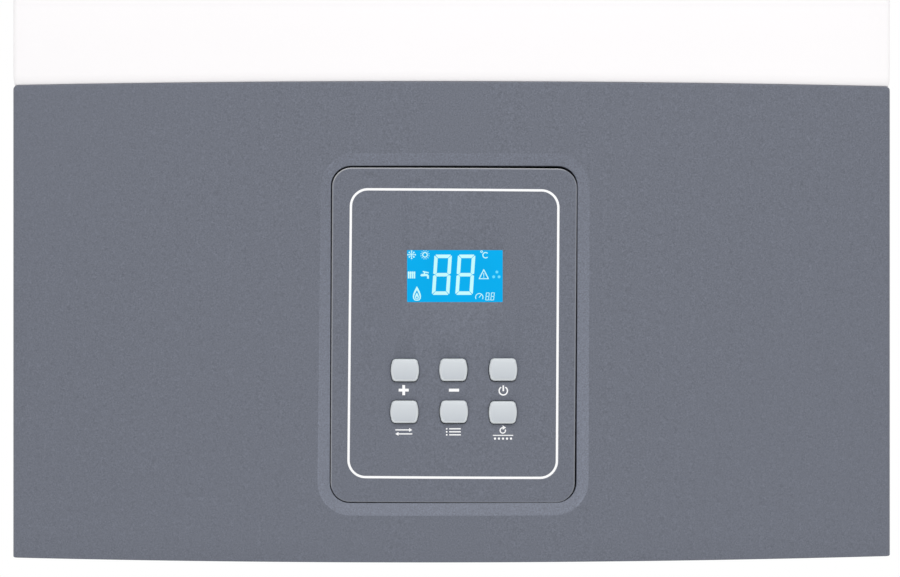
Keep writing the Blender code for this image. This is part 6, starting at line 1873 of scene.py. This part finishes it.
yokes = merged([slab((-30.5, -165, 147.9), (-1.5, -135, 149.7), 2.0, "Z", 0.3), slab((-28.5, -191, 147.9), (-3.5, -165.6, 149.7), 2.0, "Z", 0.3),
                nut((-16, -150, 180.6), "Z", 8.4, 3.2), nut((-16, -178, 172.8), "Z", 7.6, 3.0)])
plug = merged([slab((-37, -176, 152), (-28, -158, 163), 1.0, "X", 0.4)])
nipples = merged([lathe([(0, 0), (3.4, 0), (3.4, -4.6), (2.4, -5.4), (0, -5.4)], (x, -192, z), "Y", 28) for x, z in ((-28, 112), (-28, 134), (-13, 112))])
# Painted shade: thin dark bars stand for the screw slots in the test nipples.
slots = merged([box((x - 2.6, -197.55, z - 0.4), (x + 2.6, -197.2, z + 0.4)) for x, z in ((-28, 112), (-28, 134), (-13, 112))])
cap = lathe([(0, -197.6), (5.8, -197.6), (6.4, -197.0), (6.4, -196.0), (0, -196.0)], (26, 0, 122), "Y", 36)
gv_nut = nut((0, -120, 86.2), "Z", 24.0, 8.4, 9.0)
piece("gas_valve_block", [(merged(gv), "cast"), (gv_plate, "cast"), (merged([coil_a, coil_b]), "black"), (yokes, "zinc"), (plug, "white_trim"),
                          (nipples, "brass"), (slots, "dark"), (cap, "white_trim"), (gv_nut, "brass")] +
      pan_screws([(x, -195.4, z) for x in (2.5, 35.5) for z in (110.5, 133.5)], (0, -1, 0), 2.2, 0.9), "casing", ["gas_valve"],
      smooth=35, weighted=True)

# ================================================================ connections under the casing
for name, label, x, top, r, bore, tr, cr, in (("flow", "heating_flow_pipe", -140, 45.6, 9.0, 7.6, 13.2, 15.5),
                                            ("hot", "hot_water_pipe", -75, 45.6, 7.0, 5.7, 10.5, 12.5),
                                            ("gas", "gas_pipe", 0, 85.6, 9.0, 7.6, 13.2, 15.5),
                                            ("cold", "cold_water_pipe", 75, 27.6, 7.0, 5.7, 10.5, 12.5),
                                            ("return", "heating_return_pipe", 140, 45.6, 9.0, 7.6, 13.2, 15.5)):
    shank = lathe([(bore, 2.6), (r, 2.6), (r, top - 0.5), (r - 0.4, top), (bore, top)], (x, -120, 0), "Z", 48, True)
    fillet = lathe([(r, 9.2), (r + 1.6, 9.2), (r + 0.9, 9.9), (r, 11.4)], (x, -120, 0), "Z", 48, True)
    end = thread((x, -120, -20), "Z", tr, 1.2, 19.4, 1.81, bore, 48)
    neck = lathe([(bore, -0.6), (tr - 1.3, -0.6), (tr - 1.3, 3.2), (bore, 3.2)], (x, -120, 0), "Z", 48, True)
    hexa = nut((x, -120, 3.0), "Z", cr * 2 * math.cos(math.pi / 6), 6.4, bore)
    piece("pipe_end_" + name, [(shank, "copper"), (merged([fillet, end, neck, hexa]), "brass")], "casing", [label], smooth=30)

holes = [circle(x, -120, q, 40) for x, q in ((-140, 10), (-75, 8), (0, 10), (75, 8), (140, 10))]
holes += [circle(104, -108, 5.5, 24), circle(-108, -118, 8.6, 32)]
sheet = soft(prism([(-202.6, -149.5), (202.6, -149.5), (202.6, -85), (-202.6, -85)], 10.0, 11.5, "Z", holes), 0.3, 2, 60)
flange_bm = prism(strip([(-149.5, 10.75), (-154.25, 10.75), (-154.25, 24.0)], 1.5, 1.9, 5), -202.6, 202.6, "X")
rings = [lathe([(q + 0.2, 0.0), (q + 4.0, 0.0), (q + 3.2, 0.7), (q + 1.0, 0.7)], (x, -120, 11.45), "Z", 40, True)
         for x, q in ((-140, 10), (-75, 8), (0, 10), (75, 8), (140, 10))]
piece("connection_sheet", [(merged([sheet, flange_bm] + rings), "spangle")] +
      pan_screws([(s * 190, -100, 11.5) for s in (-1, 1)] + [(s * 190, -138, 11.5) for s in (-1, 1)], (0, 0, 1), 2.8, 1.3), "casing",
      ["connection_plate"], smooth=35, weighted=True)

gland_body = merged([lathe([(4.2, 29.0), (7.0, 29.0), (7.6, 28.2), (7.6, 9.6), (4.2, 9.6)], (-108, -118, 0), "Z", 36, True),
                     lathe([(6.4, -11.0), (8.2, -9.4), (9.2, -7.4), (9.6, -4.6), (9.6, 2.0), (4.2, 2.0), (4.2, -10.4)], (-108, -118, 0), "Z", 48, True),
                     nut((-108, -118, 2.2), "Z", 19.4, 7.2, 4.2), nut((-108, -118, -6.4), "Z", 18.6, 6.6, 4.2),
                     nut((-108, -118, 12.0), "Z", 19.6, 4.2, 7.4)])
grip = lathe([(3.4, -10.4), (6.2, -10.6), (6.2, -6.0), (3.4, -6.0)], (-108, -118, 0), "Z", 36, True)
piece("cable_gland_body", [(gland_body, "black"), (grip, "rubber")], "casing", ["cable_gland"], smooth=35)

for side, s in (("left", -1), ("right", 1)):
    x0, x1 = sorted((s * 176.0, s * 203.4))
    block = soft(slab((x0, -220, 2), (x1, -204, 22), 3.0, "X"), 0.9, 2, 50)
    pin = lathe([(0, 0), (1.7, 0), (2.2, 0.5), (2.2, 15.5), (0, 15.5)], (s * 163.0, -212, 5.6), "X", 28) if s > 0 else \
        turned(lathe([(0, 0), (1.7, 0), (2.2, 0.5), (2.2, 15.5), (0, 15.5)], (s * 163.0, -212, 5.6), "X", 28), math.pi, "Z", (s * 163.0, -212, 5.6))
    spring = lathe([(2.6, 0), (3.4, 0.3), (3.4, 1.1), (2.6, 1.4)], (s * 174.2, -212, 5.6), "X", 28, True)
    piece("hinge_block_" + side, [(merged([block]), "zinc"), (merged([pin, spring]), "steel_bright")] +
          pan_screws([(s * 183, -212, 22), (s * 197, -212, 22)], (0, 0, 1), 2.6, 1.2), "casing", ["hinge_bracket_" + side],
          smooth=35, weighted=True)

# ================================================================ control box behind the fascia
BX, BY0, BY1, BZ0, BZ1 = 172.0, -301.5, -222.0, 12.0, 208.0
ring_out = rounded(0, (BZ0 + BZ1) / 2, 2 * BX, BZ1 - BZ0, 3.0, 5)
ring_in = rounded(0, (BZ0 + BZ1) / 2, 2 * BX - 5, BZ1 - BZ0 - 5, 1.2, 5)
walls = prism(ring_out, BY0, BY1 + 0.8, "Y", [ring_in])
back = soft(prism(ring_out, BY1 - 2.5, BY1, "Y"), 0.8, 2, 50)
ribs = [soft(box((x - 0.9, -222.2, 16), (x + 0.9, -218.6, 204)), 0.3, 1) for x in (-158, -144, 16, 52, 88, 124, 158)]
ribs += [soft(box((-158, -222.2, z - 0.9), (158, -218.8, z + 0.9)), 0.3, 1) for z in (28, 184)]
ribs += [soft(box((16, -222.2, z - 0.9), (158, -218.8, z + 0.9)), 0.3, 1) for z in (80, 132)]
bosses = [lathe([(0, -223), (5.0, -223), (5.0, -217.6), (4.4, -217.0), (1.9, -217.0), (1.9, -219.0), (0, -219.0)], (x, 0, z), "Y", 32)
          for x in (-151, 151) for z in (22, 198)] + \
         [lathe([(0, -223), (5.0, -223), (5.0, -217.6), (4.4, -217.0), (1.9, -217.0), (1.9, -219.0), (0, -219.0)], (4, 0, z), "Y", 32) for z in (22, 198)]
side_vents = [soft(box((s * 172.0 - 0.4, -290 + 8 * k, 150), (s * 172.0 + 0.4, -286.6 + 8 * k, 190)), 0.3, 1) for s in (-1, 1) for k in range(7)]
lugs = []
for s in (-1, 1):
    out = [(-226, 30), (-222, 30)] + [(-212 + 5.2 * math.cos(math.radians(a)), 5.6 + 5.2 * math.sin(math.radians(a))) for a in range(60, -121, -6)] + \
          [(-226, 13)]
    lugs.append(soft(prism(out, min(s * 165, s * 170), max(s * 165, s * 170), "X", [circle(-212, 5.6, 2.6, 28)]), 0.5, 2, 50))
grommets = [lathe([(0, -223), (7.5, -223), (7.5, -219.4), (6.0, -218.0), (4.0, -218.0), (3.0, -219.6), (0, -219.6)], (x, 0, 195), "Y", 36) for x in (-100, -70, -40)]
piece("control_box_shell", [(merged([walls, back] + ribs + bosses + side_vents + lugs), "black"), (merged(grommets), "rubber")] +
      pan_screws([(x, -217.2, z) for x in (-151, 4, 151) for z in (22, 198)], (0, 1, 0), 3.0, 1.2), "control_panel", ["control_box_housing"],
      smooth=35, weighted=True)
lid = soft(slab((-130, -221.7, 45), (-20, -214.2, 165), 4.0, "Y"), 1.4, 3, 50)
lid_ribs = [soft(slab((-118 + 11 * k, -214.6, 60), (-114 + 11 * k, -213.5, 118), 1.9, "Y"), 0.3, 1) for k in range(9)]
field = soft(slab((-116, -214.5, 128), (-58, -213.9, 152), 1.5, "Y"), 0.2, 1)
piece("terminal_lid", [(merged([lid] + lid_ribs), "composite"), (field, "cream_trim")] +
      pan_screws([(x, -214.2, z) for x in (-124, -26) for z in (51, 159)], (0, 1, 0), 3.0, 0.65), "control_panel", ["terminal_cover"],
      smooth=35, weighted=True)

# main board with its parts
pcb = slab((-150, -237, 22), (150, -235.4, 198), 3.0, "Y", 0.15)
trafo = merged([slab((60, -262, 40), (110, -237, 90), 2.0, "Y", 0.8), slab((66, -275, 46), (104, -262, 84), 3.0, "Y", 1.0)])
relays = merged([slab((x, -256, 150), (x + 20, -237, 178), 1.5, "Y", 0.6) for x in (-90, -60, -30)])
bank = merged([slab((-140, -262, 150), (-100, -237, 180), 2.0, "Y", 0.8)])
row = merged([slab((-140 + 15 * k, -250, 30), (-126.2 + 15 * k, -237, 44), 1.0, "Y", 0.4) for k in range(12)])
chip = slab((0, -242, 90), (24, -240.2, 114), 0.6, "Y", 0.2)
legs = merged([box((-1.6, -240.8, 92 + 2 * k), (25.6, -240.4, 92.7 + 2 * k)) for k in range(10)])
cans = merged([lathe([(0, -237), (8.6, -237), (9, -238), (9, -261), (8.2, -262), (0, -262)], (x, 0, 130), "Y", 36) for x in (80, 105, 130)])
small = merged([slab((-130 + 11 * k, -238.6, 60 + 9 * (k % 4)), (-126 + 11 * k, -237, 62 + 9 * (k % 4)), 0.3, "Y") for k in range(16)])
piece("main_board_parts", [(pcb, "board"), (trafo, "stack"), (relays, "white_trim"), (bank, "cream_trim"), (row, "knob_blue"),
                           (merged([chip, small]), "dark"), (merged([legs]), "zinc"), (cans, "black")], "control_panel", ["main_board"],
      smooth=35)

# ================================================================ materials of the carried-over nodes
SLOT_MAT = {
    "white_enamel": "white", "fascia_grey": "grey", "button_silver": "silver", "black_plastic": "black",
    "display_lens": "lcd", "display_blue": "lcd", "board_green": "board", "zinc_plated": "zinc",
    "aluminised_steel": "aluzinc", "stainless_steel": "steel", "copper": "copper", "brass": "brass",
    "cast_aluminium": "cast", "vessel_red": "red_paint", "composite_dark": "composite", "knob_red": "knob_red",
    "knob_blue": "knob_blue", "rubber": "rubber", "sight_glass": "glass", "electrode_ceramic": "ceramic",
}
for sub in frame["record"]["subparts"]:
    node = NODES[sub["node"]]
    mat = MAT[SLOT_MAT[sub["material_slot"]]]
    if len(node.material_slots) == 0:
        node.data.materials.append(mat)
    for s in node.material_slots:
        s.material = mat

# ================================================================ floor, light, camera
bpy.ops.mesh.primitive_plane_add(size=6.0, location=(0, -1.5, -2.05))
floor = bpy.context.object
floor.name = "studio_floor"
fm = Nodes("floor_pale", 0.8)
fn = fm.noise(3.0, 4.0)
fm.colour(fm.mix(fm.span(fn, 0.0, 1.0), (0.80, 0.80, 0.79), (0.84, 0.84, 0.83)))
fm.rough(fm.span(fn, 0.7, 0.85))
floor.data.materials.append(fm.mat)

world = bpy.data.worlds.new("studio")
scene.world = world
world.use_nodes = True
wt = world.node_tree
wt.nodes.clear()
out = wt.nodes.new("ShaderNodeOutputWorld")
bg_light, bg_seen = wt.nodes.new("ShaderNodeBackground"), wt.nodes.new("ShaderNodeBackground")
pick = wt.nodes.new("ShaderNodeMixShader")
rays = wt.nodes.new("ShaderNodeLightPath")
wt.links.new(rays.outputs["Is Camera Ray"], pick.inputs[0])
wt.links.new(bg_light.outputs[0], pick.inputs[1])
wt.links.new(bg_seen.outputs[0], pick.inputs[2])
wt.links.new(pick.outputs[0], out.inputs["Surface"])
bg_seen.inputs["Color"].default_value = (1, 1, 1, 1)
bg_seen.inputs["Strength"].default_value = 1.0
coord = wt.nodes.new("ShaderNodeTexCoord")
sep = wt.nodes.new("ShaderNodeSeparateXYZ")
wt.links.new(coord.outputs["Generated"], sep.inputs[0])


def world_math(op, a, b):
    m = wt.nodes.new("ShaderNodeMath")
    m.operation = op
    for i, v in enumerate((a, b)):
        if isinstance(v, (int, float)):
            m.inputs[i].default_value = v
        else:
            wt.links.new(v, m.inputs[i])
    return m.outputs[0]


level = world_math("ADD", world_math("MULTIPLY", sep.outputs["Z"], 0.10),
                   world_math("ADD", world_math("MULTIPLY", world_math("POWER", sep.outputs["X"], 2.0), -0.22), 1.02))
bg_light.inputs["Color"].default_value = (1, 1, 1, 1)
wt.links.new(level, bg_light.inputs["Strength"])
# the backdrop is white behind the front, pale grey towards the sides and the back, and takes the floor's tone well
# below the horizon
side = wt.nodes.new("ShaderNodeMapRange")
side.interpolation_type = "SMOOTHSTEP"
side.inputs["From Min"].default_value, side.inputs["From Max"].default_value = 0.55, 0.94
side.inputs["To Min"].default_value, side.inputs["To Max"].default_value = 0.80, 1.0
wt.links.new(sep.outputs["Y"], side.inputs["Value"])
fall = wt.nodes.new("ShaderNodeMapRange")
fall.inputs["From Min"].default_value, fall.inputs["From Max"].default_value = -0.34, -0.15
fall.inputs["To Min"].default_value, fall.inputs["To Max"].default_value = 0.0, 1.0
wt.links.new(sep.outputs["Z"], fall.inputs["Value"])
seen_level = world_math("ADD", 0.885, world_math("MULTIPLY", fall.outputs["Result"],
                                                 world_math("SUBTRACT", side.outputs["Result"], 0.885)))
wt.links.new(seen_level, bg_seen.inputs["Strength"])


def area(name, at, aim, size, power, colour=(1, 1, 1)):
    data = bpy.data.lights.new(name, "AREA")
    data.shape = "RECTANGLE"
    data.size, data.size_y = size
    data.energy = power
    data.color = colour
    o = bpy.data.objects.new(name, data)
    scene.collection.objects.link(o)
    o.location = at
    o.rotation_euler = (Vector(aim) - Vector(at)).to_track_quat("-Z", "Y").to_euler()
    return o


area("key_top", (0.12, -1.4, 1.1), (0, -0.3, -0.5), (1.0, 0.5), 10.5)

cam = bpy.data.cameras.new("camera")
cam.sensor_width = 36.0
cam.sensor_fit = "HORIZONTAL"
cam.lens = FOCAL * 36.0 / 900.0
cam.shift_x = (450.0 - CENTRE_PX) / 900.0
cam.shift_y = (CENTRE_PY - 288.5) / 900.0
cam.clip_start = 0.05
camera = bpy.data.objects.new("camera", cam)
scene.collection.objects.link(camera)
camera.location = (EYE[0] * MM, EYE[1] * MM, (EYE[2] - Z0) * MM)
camera.rotation_euler = (math.radians(90), 0, -YAW)
scene.camera = camera

scene.view_settings.view_transform = "Standard"
scene.view_settings.look = "None"
scene.view_settings.exposure = 0.0
scene.view_settings.gamma = 1.0
